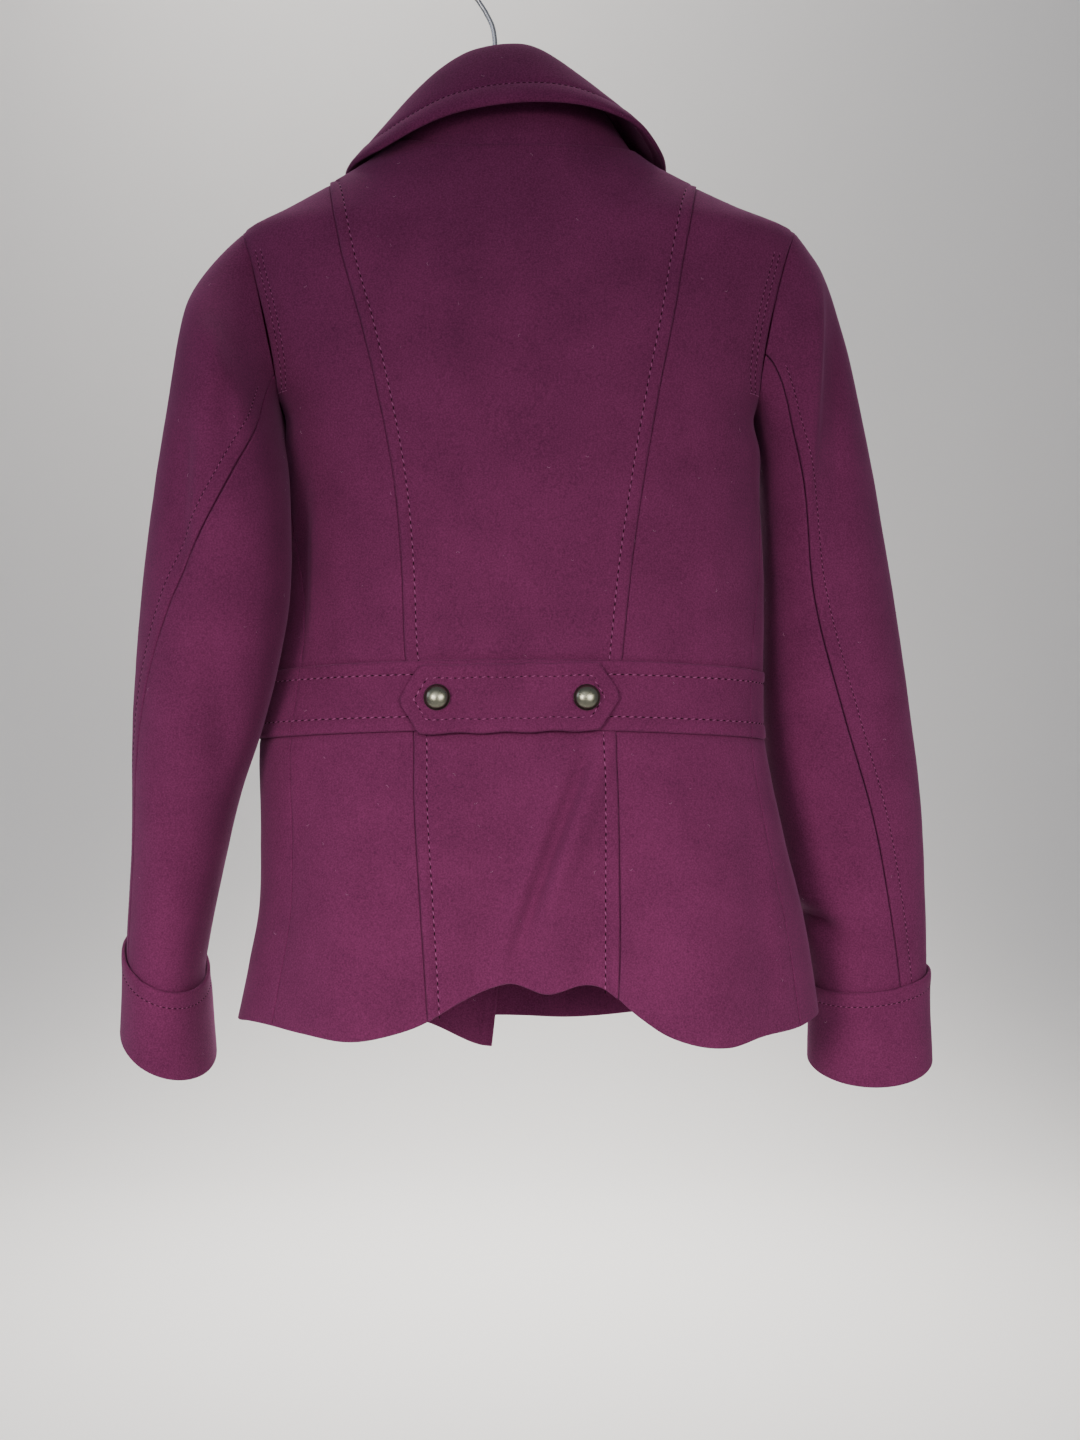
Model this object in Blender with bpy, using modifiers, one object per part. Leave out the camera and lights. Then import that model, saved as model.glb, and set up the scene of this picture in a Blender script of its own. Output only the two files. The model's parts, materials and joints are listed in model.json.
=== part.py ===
"""A short double-breasted wool coat on a wire-hooked hanger, modelled in metres with +Z up.

The back of the coat faces -Y. The origin is where a rail carries the hook: the underside of its top bend.
Tables and surface functions work in millimetres, with heights as drops below that point.
"""

import functools
import math
from collections import namedtuple

import bmesh
import bpy
import numpy as np
from mathutils import Matrix, Vector

MM = 0.001

# Cloth and seams, in millimetres
WALL = 2.4            # wool cloth with its backing
COLLAR_WALL = 3.2     # two layers of cloth, turned at the edge
CUFF_WALL = 2.8
SEAM = 0.3            # clear distance between two pieces at a seam
LAP = 1.3             # how far a lapped panel stands above its neighbour
BAND_LIFT = 1.0       # the waistband above the panels
COAT_SHIFT = 18.0     # the coat's middle lies this far to the right of the hook

# Heights, as drops below the hook's saddle
NECK_DROP = 150.0
NECK_BACK_DIP = 8.0
NECK_FRONT_DIP = 62.0
NECK_LEFT_RISE = 8.0   # the left shoulder sits up under the collar
SHOULDER_DROP = 210.0
ARMPIT_DROP = 345.0
BAND_TOP = 525.0
BAND_BOTTOM = 574.5
BAND_SIDE_SAG = 7.0
BAND_SAG_SHARE = 0.45  # the waistband sinks up to this share of the way round
SIDE_TOPS = {-1: 179.0, 1: 177.0}  # the side backs start here, where their seam meets the shoulder's
FRONT_HEMS = {-1: 824.0, 1: 800.0}
SKIRT_DROP = 790.0    # about where the hem hangs, from which its rows are bent to the true edge
CORNER_X, CORNER_RISE, CORNER_RUN = -23.0, 18.0, 60.0  # the left front's corner hangs lowest
FRONT_HEM_TURN = (0.95, 0.5)  # share where a front's hem is lowest, and over which it falls

# Front closure: the left front lies under the right one
OVERLAP_LIFT = 4.2
OVERLAP_FADE = (40.0, -6.0)   # the right front rises between these places across

# Tab and buttons
TAB_LEFT, TAB_RIGHT = -82.0, 70.0
TAB_DROP = 552.5
TAB_HALF_HEIGHT = 24.6
TAB_POINT = 13.5
TAB_TIP_HALF = 2.5
TAB_WALL = 2.4
TAB_GAP = 0.6
BUTTON_RADIUS = 9.3
BUTTON_HEIGHT = 7.4
BUTTON_RIM = 2.0
BUTTON_SEGMENTS = 16
TAB_BUTTON_X = (-56.0, 48.0)
FRONT_BUTTON_X = (-58.0, 58.0)
FRONT_BUTTON_DROPS = (330.0, 440.0, 555.0)
BUTTON_ARC = 5
BUTTON_GAP = 0.7

# Hanger
HOOK_WIRE = 1.8
HOOK_LOOP = 19.6
HOOK_START_DEG = 229.0
HOOK_END_DEG = -28.0
BAR_RADIUS = 6.0
BAR_CROWN_DROP = 139.0
BAR_GAP = 0.4
BAR_DROPS = (152, 160, 170, 180, 190, 199)
BAR_POINTS = 33
# across and drop of the wire, from the bar up to its bend
HOOK_SHANK = [(0, 132.7), (0, 100), (0, 66), (-0.4, 60), (-2.2, 51.5), (-7.4, 41)]
HOOK_POINTS = 24

Section = namedtuple("Section", "drop left right back front middle square")
SECTIONS = [
    # drop, half width on each side, depth to back and front of the widest line, its place, squareness
    Section(140, 90, 66, 52, 48, 0, 2.2),
    Section(150, 102, 84, 56, 52, 0, 2.2),
    Section(165, 123, 106, 60, 56, 0, 2.3),
    Section(180, 149, 134.5, 64, 60, 0, 2.4),
    Section(195, 176, 167.5, 68, 64, 0, 2.5),
    Section(210, 203, 203, 72, 68, 0, 2.6),
    Section(250, 203, 203, 79, 75, 0, 2.8),
    Section(290, 196, 196, 84, 80, 0, 2.9),
    Section(325, 184, 184, 87, 83, 0, 2.8),
    Section(345, 173, 173, 88, 84, 0, 2.7),
    Section(370, 172, 178, 88, 84.5, 0, 2.4),
    Section(400, 172, 178, 88, 85, 0, 2.1),
    Section(460, 173, 181, 86, 84, 0, 2.0),
    Section(500, 178, 181, 84, 82, 0, 2.1),
    Section(550, 187, 180, 83, 81, 0, 2.3),
    Section(580, 191, 181, 84, 82, -4, 2.4),
    Section(652, 189, 194, 86, 86, -10, 2.5),
    Section(706, 190, 207, 86, 92, -14, 2.5),
    Section(746, 197.5, 214, 86, 96, -16, 2.5),
    Section(820, 213, 223, 88, 100, -18, 2.5),
]

SeamLine = namedtuple("SeamLine", "drop left right")
PRINCESS = [
    # distance of the back's shaped seams from the middle
    SeamLine(170, 139, 131),
    SeamLine(198, 133, 125),
    SeamLine(240, 124, 117),
    SeamLine(285, 111, 109),
    SeamLine(330, 100, 100),
    SeamLine(393, 88, 89),
    SeamLine(456, 82, 80),
    SeamLine(524, 79, 73),
    SeamLine(575, 73, 68.5),
    SeamLine(623, 72, 70),
    SeamLine(700, 67, 70),
    SeamLine(800, 60, 69),
]
ARMHOLE = [
    # distance of the armhole seam from the middle
    SeamLine(210, 203.5, 203.5),
    SeamLine(221, 198, 198),
    SeamLine(250, 190, 189),
    SeamLine(283, 182, 181),
    SeamLine(315, 176, 175.5),
    SeamLine(345, 173.5, 173.5),
]
Opening = namedtuple("Opening", "drop under over")
OPENING = [
    # distance of the two fronts' edges from the middle
    Opening(150, -14, -44),
    Opening(240, -16, -80),
    Opening(330, -16, -86),
    Opening(760, -16, -86),
    Opening(830, -23, -86),
]
SIDE_SEAM = [
    # share of the way round from the middle of the back, where 0.5 is the widest line
    SeamLine(345, 0.5, 0.5),
    SeamLine(420, 0.45, 0.468),
    SeamLine(525, 0.372, 0.415),
    SeamLine(600, 0.362, 0.398),
    SeamLine(820, 0.362, 0.402),
]

Fold = namedtuple("Fold", "top_x top_drop end_x end_drop half_width height")
BACK_FOLDS = [
    Fold(-105, 590, -116, 790, 42, 17),
    Fold(118, 590, 132, 790, 44, 17),
    Fold(4, 600, 14, 780, 52, -15),
    Fold(34, 620, 20, 775, 15, 6),
    Fold(62, 600, 58, 770, 15, -7),
    Fold(-20, 250, 12, 560, 46, -3),
    Fold(88, 300, 60, 520, 30, 2),
]
FOLD_FADE = 0.12     # folds die away this share before the widest line
FRONT_FOLDS = [
    Fold(-112, 590, -120, 800, 40, 13),
    Fold(110, 590, 122, 800, 42, 13),
    Fold(30, 610, 36, 800, 36, -7),
]

HemPoint = namedtuple("HemPoint", "x drop")
BACK_HEM = [
    HemPoint(-230, 785),
    HemPoint(-207, 784.5),
    HemPoint(-194, 781.8),
    HemPoint(-150, 785),
    HemPoint(-114, 787.8),
    HemPoint(-90, 784.5),
    HemPoint(-66, 777.5),
    HemPoint(-42, 764),
    HemPoint(-20, 754),
    HemPoint(-5, 751),
    HemPoint(20, 758),
    HemPoint(47, 752),
    HemPoint(60, 755),
    HemPoint(84, 773),
    HemPoint(104, 785),
    HemPoint(146, 793),
    HemPoint(172, 788),
    HemPoint(200, 785),
    HemPoint(214, 781),
    HemPoint(230, 777),
]

ArmRing = namedtuple("ArmRing", "along outer_x outer_drop inner_x inner_drop middle half_depth dip seam")
LEFT_ARM = [
    # place along the arm, its two edges, its depth, how low its back hangs, the back seam's share across
    ArmRing(0.00, 203.5, 210, 174, 345, -2, 55, 0, 0.81),
    ArmRing(0.07, 228.5, 237, 174, 360, -14, 59, 0, 0.82),
    ArmRing(0.15, 239, 267, 169.5, 387, -33, 60, 1, 0.79),
    ArmRing(0.28, 250, 337, 164, 432, -46, 57, 2, 0.615),
    ArmRing(0.46, 264.5, 439, 166, 496, -50, 54, 3, 0.354),
    ArmRing(0.66, 275, 552, 184, 572, -46, 51, 5, 0.136),
    ArmRing(0.84, 280, 651, 210, 653, -30, 47, 10, 0.09),
    ArmRing(0.95, 285, 725, 230, 751, -22, 46, 15, 0.1),
    ArmRing(1.00, 285.5, 746, 229, 773, -20, 46, 16, 0.083),
    ArmRing(1.14, 288, 791, 226.5, 818, -16, 46, 15, 0.08),
]
RIGHT_ARM = [
    ArmRing(0.00, 203.5, 210, 174, 345, -2, 55, 0, 0.71),
    ArmRing(0.07, 222, 231, 177.5, 357, 5, 59, 0, 0.71),
    ArmRing(0.15, 237, 256, 179.5, 382, 18, 60, 1, 0.71),
    ArmRing(0.28, 256.5, 327, 182, 427, 30, 57, 2, 0.65),
    ArmRing(0.46, 277, 432, 183, 492, 36, 53, 3, 0.646),
    ArmRing(0.66, 296.5, 551.5, 185, 572, 40, 48, 4, 0.5),
    ArmRing(0.84, 307.5, 653.5, 198, 655.5, 40, 41, 6, 0.364),
    ArmRing(0.95, 309.5, 752, 222, 763, 36, 37, 8, 0.296),
    ArmRing(1.00, 309, 773, 223, 783, 36, 37, 9, 0.284),
    ArmRing(1.14, 310, 824, 222.5, 826, 34, 37, 15, 0.282),
]
FRONT_ARM_SEAM = 0.72     # share across the arm of its other seam, at the front
ARM_BLEND = 0.15          # the sleeve's head changes from the armhole's shape over this stretch
ARMHOLE_GAP = 1.9
SHOULDER_GAP = 1.2        # more at the shoulder, where the edge turns sharply
SLEEVE_SEAM = 0.7         # half the clear distance between over and under sleeve, at the cuff
CUFF_START = 0.955
CUFF_LIFT = 4.6

CollarStation = namedtuple("CollarStation", "share fold_x fold_y fold_drop edge_x edge_y edge_drop")
COLLAR = [
    # where it sits on the neck, its fold line and its outer edge
    CollarStation(-0.90, -38, 64, 168, -92, 84, 254),
    CollarStation(-0.75, -66, 50, 146, -122, 66, 190),
    CollarStation(-0.62, -92, 20, 137, -131, 30, 168),
    CollarStation(-0.48, -84, -7, 126, -126, -14, 162),
    CollarStation(-0.32, -65, -31, 105, -99, -50, 157),
    CollarStation(-0.15, -37, -44, 88, -52, -72, 141),
    CollarStation(0.00, -8, -48, 83, -4, -78, 134),
    CollarStation(0.15, 14, -45, 86, 44, -76, 134),
    CollarStation(0.32, 45, -32, 107, 84, -57, 141),
    CollarStation(0.48, 68, -6, 124, 105, -20, 153.5),
    CollarStation(0.62, 76, 20, 135, 112, 26, 161),
    CollarStation(0.75, 65, 50, 146, 112, 66, 192),
    CollarStation(0.90, 38, 64, 168, 92, 86, 252),
]
COLLAR_MIDDLE_X = -4.0
COLLAR_GAP = 1.5
COLLAR_LAP_END, COLLAR_LAP_FADE = 0.56, 0.05   # the stand follows the lapped back up to the shoulder seam
STAND_CLEAR = 6.0         # the stand ends this far below the fold
COLLAR_ROLL = (10.0, 4.0)  # how far the roll stands out and up from the fold line

# How finely each piece is divided
SIDES = (("left", -1), ("right", 1))
CENTRE_COLUMNS, SIDE_COLUMNS, FRONT_COLUMNS = 12, 8, 14
SKIRT_ROWS, BAND_ROWS, BAND_BACK_COLUMNS = 10, 3, 24
OVER_COLUMNS, UNDER_COLUMNS, ARM_ROWS = 11, 9, 16
CUFF_COLUMNS, CUFF_ROWS = 22, 4
COLLAR_COLUMNS, STAND_ROWS, FALL_ROWS = 28, 3, 7
TAB_COLUMNS, TAB_ROWS = 16, 4

# Rows of the upper panels, as drops, close together round the armhole
SHOULDER_ROWS = list(range(150, 211, 10))
ARMHOLE_ROWS = [217, 228, 243, 262, 284, 307, 328, 345]
UPPER_ROWS = SHOULDER_ROWS + ARMHOLE_ROWS + [375, 410, 450, 490, BAND_TOP]

WOOL = (0.105, 0.016, 0.052, 1.0)
PEWTER = (0.30, 0.29, 0.25, 1.0)
STEEL = (0.62, 0.62, 0.63, 1.0)
BEECH = (0.45, 0.30, 0.17, 1.0)


def eased(keys, values, at):
    """A smooth curve through (keys, values), read at one place and held at its ends."""
    if at <= keys[0]:
        return values[0]
    if at >= keys[-1]:
        return values[-1]
    slopes = [(b - a) / (k - j) for a, b, j, k in zip(values, values[1:], keys, keys[1:])]
    index = max(i for i, key in enumerate(keys[:-1]) if key <= at)
    span = keys[index + 1] - keys[index]
    start = 0.5 * (slopes[max(index - 1, 0)] + slopes[index])
    end = 0.5 * (slopes[index] + slopes[min(index + 1, len(slopes) - 1)])
    s = (at - keys[index]) / span
    return (
        (2 * s**3 - 3 * s**2 + 1) * values[index]
        + (s**3 - 2 * s**2 + s) * span * start
        + (3 * s**2 - 2 * s**3) * values[index + 1]
        + (s**3 - s**2) * span * end
    )


def column(rows, key, name, at):
    """One named column of a table, read at a value of its key column."""
    return eased([getattr(row, key) for row in rows], [getattr(row, name) for row in rows], at)


def smoothstep(s):
    s = min(max(s, 0.0), 1.0)
    return s * s * (3 - 2 * s)


RING_STEPS = 60


@functools.lru_cache(maxsize=None)
def ring(drop, side):
    """Points round one half of the body at this drop, with their shares: 0 back, 0.5 side, 1 front."""
    width = column(SECTIONS, "drop", "left" if side < 0 else "right", drop)
    back = column(SECTIONS, "drop", "back", drop)
    front = column(SECTIONS, "drop", "front", drop)
    middle = column(SECTIONS, "drop", "middle", drop)
    power = 2 / column(SECTIONS, "drop", "square", drop)
    angle = np.linspace(0, math.pi / 2, RING_STEPS + 1)
    across = width * np.sin(angle) ** power
    along = np.abs(np.cos(angle)) ** power
    along[-1] = 0.0
    shares, xs, ys = [], [], []
    for depth, turn in ((-back, 1), (front, -1)):
        y = middle + depth * along
        length = np.concatenate([[0], np.cumsum(np.hypot(np.diff(across), np.diff(y)))])
        share = 0.5 * length / length[-1]
        shares.append(share if turn > 0 else 1 - share[::-1])
        xs.append(across[::turn])
        ys.append(y[::turn])
    return np.concatenate(shares), side * np.concatenate(xs), np.concatenate(ys)


def fold_height(folds, x, drop):
    """How far the folds push the cloth out at this place."""
    total = 0.0
    for fold in folds:
        way = (drop - fold.top_drop) / (fold.end_drop - fold.top_drop)
        crest = fold.top_x + way * (fold.end_x - fold.top_x)
        total += fold.height * smoothstep(way) * math.exp(-(((x - crest) / fold.half_width) ** 2))
    return total


def body(share, drop):
    """A point of the coat's body: share runs from -1 to 1, with 0 at the middle of the back."""
    if abs(share) > 1:
        share -= 2 * math.copysign(1, share)
    side = -1 if share < 0 else 1
    shares, xs, ys = ring(drop, side)
    x = float(np.interp(abs(share), shares, xs))
    y = float(np.interp(abs(share), shares, ys))
    if abs(share) < 0.5:
        y -= fold_height(BACK_FOLDS, x, drop) * smoothstep((0.5 - abs(share)) / FOLD_FADE)
    else:
        y += fold_height(FRONT_FOLDS, x, drop) * smoothstep((abs(share) - 0.5) / FOLD_FADE)
    return Vector((x, y, -drop))


def share_at(drop, x):
    """The share where the back's half of the ring is this far from the middle, at most 0.5."""
    side = -1 if x < 0 else 1
    shares, xs, _ = ring(drop, side)
    half = RING_STEPS + 1
    return side * float(np.interp(abs(x), np.abs(xs[:half]), shares[:half]))


def front_share_at(drop, x):
    """The share on the right's way round where the front is at this x; past 1 it is on the left."""
    side = -1 if x < 0 else 1
    shares, xs, _ = ring(drop, side)
    half = RING_STEPS + 1
    share = float(np.interp(abs(x), np.abs(xs[half:])[::-1], shares[half:][::-1]))
    return share if side > 0 else 2 - share


def seam_share(rows, drop, side):
    """The share of a seam that is given by its distance from the middle."""
    return abs(share_at(drop, side * column(rows, "drop", "left" if side < 0 else "right", drop)))


def armhole_share(drop, side):
    """The back's outer limit: shoulder seam, armhole or side seam."""
    if drop <= SHOULDER_DROP:
        return 0.5
    if drop < ARMPIT_DROP:
        return seam_share(ARMHOLE, drop, side)
    return column(SIDE_SEAM, "drop", "left" if side < 0 else "right", drop)


def front_limit(drop, side):
    """The front's outer limit, facing the back's."""
    share = armhole_share(drop, side)
    return 1 - share if drop < ARMPIT_DROP else share


def neck_drop(share):
    """The neck edge: a little lower at the back, well lower at the front, higher on the left shoulder."""
    if abs(share) > 1:
        share -= 2 * math.copysign(1, share)
    away = abs(share)
    rise = NECK_LEFT_RISE * smoothstep((-share - 0.12) / 0.3) * smoothstep((0.95 - away) / 0.3)
    if away < 0.5:
        return NECK_DROP + NECK_BACK_DIP * (1 - (2 * away) ** 2) - rise
    return NECK_DROP + NECK_FRONT_DIP * (2 * away - 1) ** 2 - rise


def band_drop(edge, share):
    """An edge of the waistband, which sinks a little towards the sides."""
    way = min(abs(share) / BAND_SAG_SHARE, 1.0)
    return edge + BAND_SIDE_SAG * way**2


def back_hem(share, drop):
    return column(BACK_HEM, "x", "drop", body(share, drop).x)


def front_hem(side):
    """A front's hem: the back's until it has turned the side, lowest at its opening edge."""
    def hem(place, drop):
        share = abs(place)
        share = 2 - share if share > 1 else share
        rise = smoothstep((FRONT_HEM_TURN[0] - share) / FRONT_HEM_TURN[1])
        level = back_hem(side * min(share, 0.5), drop)
        lowest = FRONT_HEMS[side]
        if side < 0:
            lowest -= CORNER_RISE * smoothstep((CORNER_X - body(place, drop).x) / CORNER_RUN)
        return lowest + (level - lowest) * rise

    return hem


class Panel:
    """A stretch of the body between two seams and two edges, read by (u, v) from 0 to 1."""

    def __init__(self, low, high, top, bottom, rows):
        self.low, self.high, self.top, self.bottom, self.rows = low, high, top, bottom, rows

    def place(self, u, v):
        """The share and the drop at (u, v)."""
        rows = self.rows
        nominal = float(np.interp(v * (len(rows) - 1), range(len(rows)), rows))
        way = (nominal - rows[0]) / (rows[-1] - rows[0])
        drop = nominal
        for _ in range(4):
            share = self.low(drop) + u * (self.high(drop) - self.low(drop))
            top, bottom = self.top(share, drop), self.bottom(share, drop)
            drop = nominal + (top - rows[0]) * (1 - way) + (bottom - rows[-1]) * way**2
        return share, drop

    def point(self, u, v):
        return body(*self.place(u, v))


def even_rows(top, bottom, count):
    return list(np.linspace(top, bottom, count + 1))


def seam_gap(drop):
    """Half a seam's clear distance, as a share of the way round."""
    return 0.25 * SEAM / column(SECTIONS, "drop", "left", drop)


def normal_at(surface, u, v, closed=False, step=2e-3):
    """The unit normal of a surface that is read by (u, v), where a closed one goes on past u = 1."""
    u_low, u_high = (u - step, u + step) if closed else (max(u - step, 0), min(u + step, 1))
    v_low, v_high = max(v - step, 0), min(v + step, 1)
    across = surface(u_high, v) - surface(u_low, v)
    down = surface(u, v_high) - surface(u, v_low)
    return across.cross(down).normalized()


def body_centre(point):
    return Vector((0, 0, point.z))


def outwards(surface, centre=body_centre):
    """The surface read so that its normal points away from a centre that is found for its middle point."""
    point = surface(0.5, 0.5)
    if normal_at(surface, 0.5, 0.5).dot(point - centre(point)) > 0:
        return surface
    return lambda u, v: surface(1 - u, v)


def plain_material(name, colour, roughness, metallic=0.0):
    material = bpy.data.materials.new(name)
    material.use_nodes = True
    shader = material.node_tree.nodes["Principled BSDF"]
    shader.inputs["Base Color"].default_value = colour
    shader.inputs["Roughness"].default_value = roughness
    shader.inputs["Metallic"].default_value = metallic
    return material


class Maker:
    """Links finished objects to the part's collection, each with its own material."""

    def __init__(self):
        self.parts = bpy.data.collections.new("double_breasted_coat")
        bpy.context.scene.collection.children.link(self.parts)
        self.coat = bpy.data.objects.new("coat_place", None)
        self.coat.location.x = COAT_SHIFT * MM
        self.parts.objects.link(self.coat)

    def add(self, name, data, colour, roughness, metallic=0.0, on_coat=True):
        data.materials.append(plain_material(name, colour, roughness, metallic))
        item = bpy.data.objects.new(name, data)
        self.parts.objects.link(item)
        if on_coat:
            item.parent = self.coat
        return item

    def cloth(self, name, surface, columns, rows, wall, lift=None, closed=False):
        """A wall of cloth: a grid on the surface, thickened inwards along the surface's own normals."""
        shape = bmesh.new()
        bmesh.ops.create_grid(shape, x_segments=columns, y_segments=rows, size=0.5)
        grown = bmesh.ops.extrude_face_region(shape, geom=shape.faces[:])
        inner = [item for item in grown["geom"] if isinstance(item, bmesh.types.BMVert)]
        bmesh.ops.translate(shape, vec=(0, 0, -1), verts=inner)
        if closed:
            ends = [face for face in shape.faces if abs(abs(face.calc_center_median().x) - 0.5) < 1e-6]
            bmesh.ops.delete(shape, geom=ends, context="FACES")
        for corner in shape.verts:
            u, v = corner.co.x + 0.5, 0.5 - corner.co.y
            point = surface(u, v)
            rise = (lift(point) if lift else 0.0) + corner.co.z * wall
            corner.co = (point + normal_at(surface, u, v, closed) * rise) * MM
        if closed:
            bmesh.ops.remove_doubles(shape, verts=shape.verts, dist=1e-6)
        bmesh.ops.recalc_face_normals(shape, faces=shape.faces)
        if shape.calc_volume(signed=True) < 0:
            bmesh.ops.reverse_faces(shape, faces=shape.faces)
        mesh = bpy.data.meshes.new(name)
        shape.to_mesh(mesh)
        shape.free()
        mesh.shade_smooth()
        mesh.set_sharp_from_angle(angle=math.radians(50))
        return self.add(name, mesh, WOOL, 0.95)

    def panel(self, name, panel, columns, lift):
        surface = outwards(panel.point)
        return self.cloth(name, surface, columns, len(panel.rows) - 1, WALL, lift)

    def tube(self, name, points, radius, colour, roughness, metallic, on_coat):
        """A round rod or wire along points."""
        curve = bpy.data.curves.new(name, "CURVE")
        curve.dimensions = "3D"
        curve.bevel_depth = radius * MM
        curve.bevel_resolution = 2
        curve.use_fill_caps = True
        spline = curve.splines.new("POLY")
        spline.points.add(len(points) - 1)
        for place, point in zip(spline.points, points):
            place.co = (*(Vector(point) * MM), 1.0)
        return self.add(name, curve, colour, roughness, metallic, on_coat)


def flat_lift(amount):
    return lambda point: amount


def overlap_lift(base):
    """The right front rises where it covers the left one."""
    start, end = OVERLAP_FADE
    return lambda point: base + OVERLAP_LIFT * smoothstep((start - point.x) / (start - end))


def centre_edge(side):
    """An edge of the middle of the back: the shoulder seam, then the shaped seam."""
    return lambda drop: side * (min(0.5, seam_share(PRINCESS, drop, side)) - seam_gap(drop))


def side_back_edges(side):
    """The two edges of a side back."""
    return (
        lambda drop: side * (seam_share(PRINCESS, drop, side) + seam_gap(drop)),
        lambda drop: side * (armhole_share(drop, side) - seam_gap(drop)),
    )


def front_edges(side):
    """A front's outer limit and its opening edge."""
    def opening(drop):
        if side < 0:
            return front_share_at(drop, column(OPENING, "drop", "under", drop)) - 2
        return front_share_at(drop, column(OPENING, "drop", "over", drop))

    return lambda drop: side * (front_limit(drop, side) + seam_gap(drop)), opening


def build_tier(make, prefix, rows, top, back_bottom, front_bottoms, side_tops):
    """The back, side backs and fronts of one tier of the coat, above or below the waistband."""
    centre = Panel(centre_edge(-1), centre_edge(1), top, back_bottom, rows)
    make.panel(f"{prefix}back_centre", centre, CENTRE_COLUMNS, flat_lift(LAP))
    for name, side in SIDES:
        side_rows = [row for row in rows if row > SIDE_TOPS[side]]
        side_back = Panel(*side_back_edges(side), side_tops[side], back_bottom, side_rows)
        make.panel(f"{prefix}back_side_{name}", side_back, SIDE_COLUMNS, flat_lift(0))
        front = Panel(*front_edges(side), top, front_bottoms[side], rows)
        rise = overlap_lift(0) if side > 0 else flat_lift(0)
        make.panel(f"{prefix}front_{name}", front, FRONT_COLUMNS, rise)


def build_body(make):
    """Everything between the neck and the hem, except what is sewn on it."""
    def neck_edge(share, _):
        return neck_drop(share)

    def above_band(share, _):
        return band_drop(BAND_TOP, share) - SEAM

    def below_band(share, _):
        return band_drop(BAND_BOTTOM, share) + SEAM

    def band_top(share, _):
        return band_drop(BAND_TOP, share)

    def band_bottom(share, _):
        return band_drop(BAND_BOTTOM, share)

    def shoulder_end(side):
        return lambda share, _: SIDE_TOPS[side]

    upper_fronts = {side: above_band for _, side in SIDES}
    upper_tops = {side: shoulder_end(side) for _, side in SIDES}
    build_tier(make, "", UPPER_ROWS, neck_edge, above_band, upper_fronts, upper_tops)
    skirt_rows = even_rows(BAND_BOTTOM, SKIRT_DROP, SKIRT_ROWS)
    skirt_fronts = {side: front_hem(side) for _, side in SIDES}
    skirt_tops = {side: below_band for _, side in SIDES}
    build_tier(make, "skirt_", skirt_rows, below_band, back_hem, skirt_fronts, skirt_tops)
    band_rows = even_rows(BAND_TOP, BAND_BOTTOM, BAND_ROWS)
    back = Panel(side_back_edges(-1)[1], side_back_edges(1)[1], band_top, band_bottom, band_rows)
    make.panel("waistband_back", back, BAND_BACK_COLUMNS, flat_lift(BAND_LIFT))
    for name, side in SIDES:
        front = Panel(*front_edges(side), band_top, band_bottom, band_rows)
        rise = overlap_lift(BAND_LIFT) if side > 0 else flat_lift(BAND_LIFT)
        make.panel(f"waistband_front_{name}", front, FRONT_COLUMNS, rise)


def armhole_point(side, turn):
    """A point of the armhole's edge: turn 0 at the shoulder, a half turn at the armpit, the back first."""
    drop = SHOULDER_DROP + (ARMPIT_DROP - SHOULDER_DROP) * 0.5 * (1 - math.cos(turn))
    share = armhole_share(min(drop, ARMPIT_DROP - 1e-6), side)
    point = body(side * (share if math.sin(turn) >= 0 else 1 - share), drop)
    point.x += side * (ARMHOLE_GAP + SHOULDER_GAP * max(0.0, math.cos(turn)) ** 3)
    return point


def arm_point(rows, side, turn, along):
    """A point of a sleeve, which starts as the armhole's edge and hangs in slanted rings."""
    def read(name):
        return column(rows, "along", name, along)

    outer = Vector((side * read("outer_x"), read("middle"), -read("outer_drop")))
    inner = Vector((side * read("inner_x"), read("middle"), -read("inner_drop")))
    swing = math.sin(turn)
    point = (outer + inner) / 2 + (outer - inner) / 2 * math.cos(turn)
    point += Vector((0, -read("half_depth") * swing, -read("dip") * swing))
    if along < ARM_BLEND:
        point = armhole_point(side, turn).lerp(point, smoothstep(along / ARM_BLEND))
    return point


def turn_at(share):
    """The turn round a ring whose place across it is this share, from its outer to its inner edge."""
    return math.acos(1 - 2 * share)


def build_sleeve(make, name, side, rows):
    """Over sleeve, under sleeve and turned-back cuff of one arm."""
    gap = SLEEVE_SEAM / rows[-1].half_depth
    front_seam = 2 * math.pi - turn_at(FRONT_ARM_SEAM)

    def back_seam(along):
        return turn_at(column(rows, "along", "seam", along))

    def over(u, v):
        low, high = front_seam - 2 * math.pi + gap, back_seam(v) - gap
        return arm_point(rows, side, low + u * (high - low), v)

    def under(u, v):
        low, high = back_seam(v) + gap, front_seam - gap
        return arm_point(rows, side, low + u * (high - low), v)

    def cuff(u, v):
        return arm_point(rows, side, 2 * math.pi * u, CUFF_START + v * (rows[-1].along - CUFF_START))

    def arm_centre(row):
        return lambda point: Vector((side * 0.5 * (row.outer_x + row.inner_x), row.middle, point.z))

    elbow, end = arm_centre(rows[len(rows) // 2]), arm_centre(rows[-1])
    make.cloth(f"over_sleeve_{name}", outwards(over, elbow), OVER_COLUMNS, ARM_ROWS, WALL)
    make.cloth(f"under_sleeve_{name}", outwards(under, elbow), UNDER_COLUMNS, ARM_ROWS, WALL)
    band = outwards(cuff, end)
    make.cloth(f"cuff_{name}", band, CUFF_COLUMNS, CUFF_ROWS, CUFF_WALL, flat_lift(CUFF_LIFT), closed=True)


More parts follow.
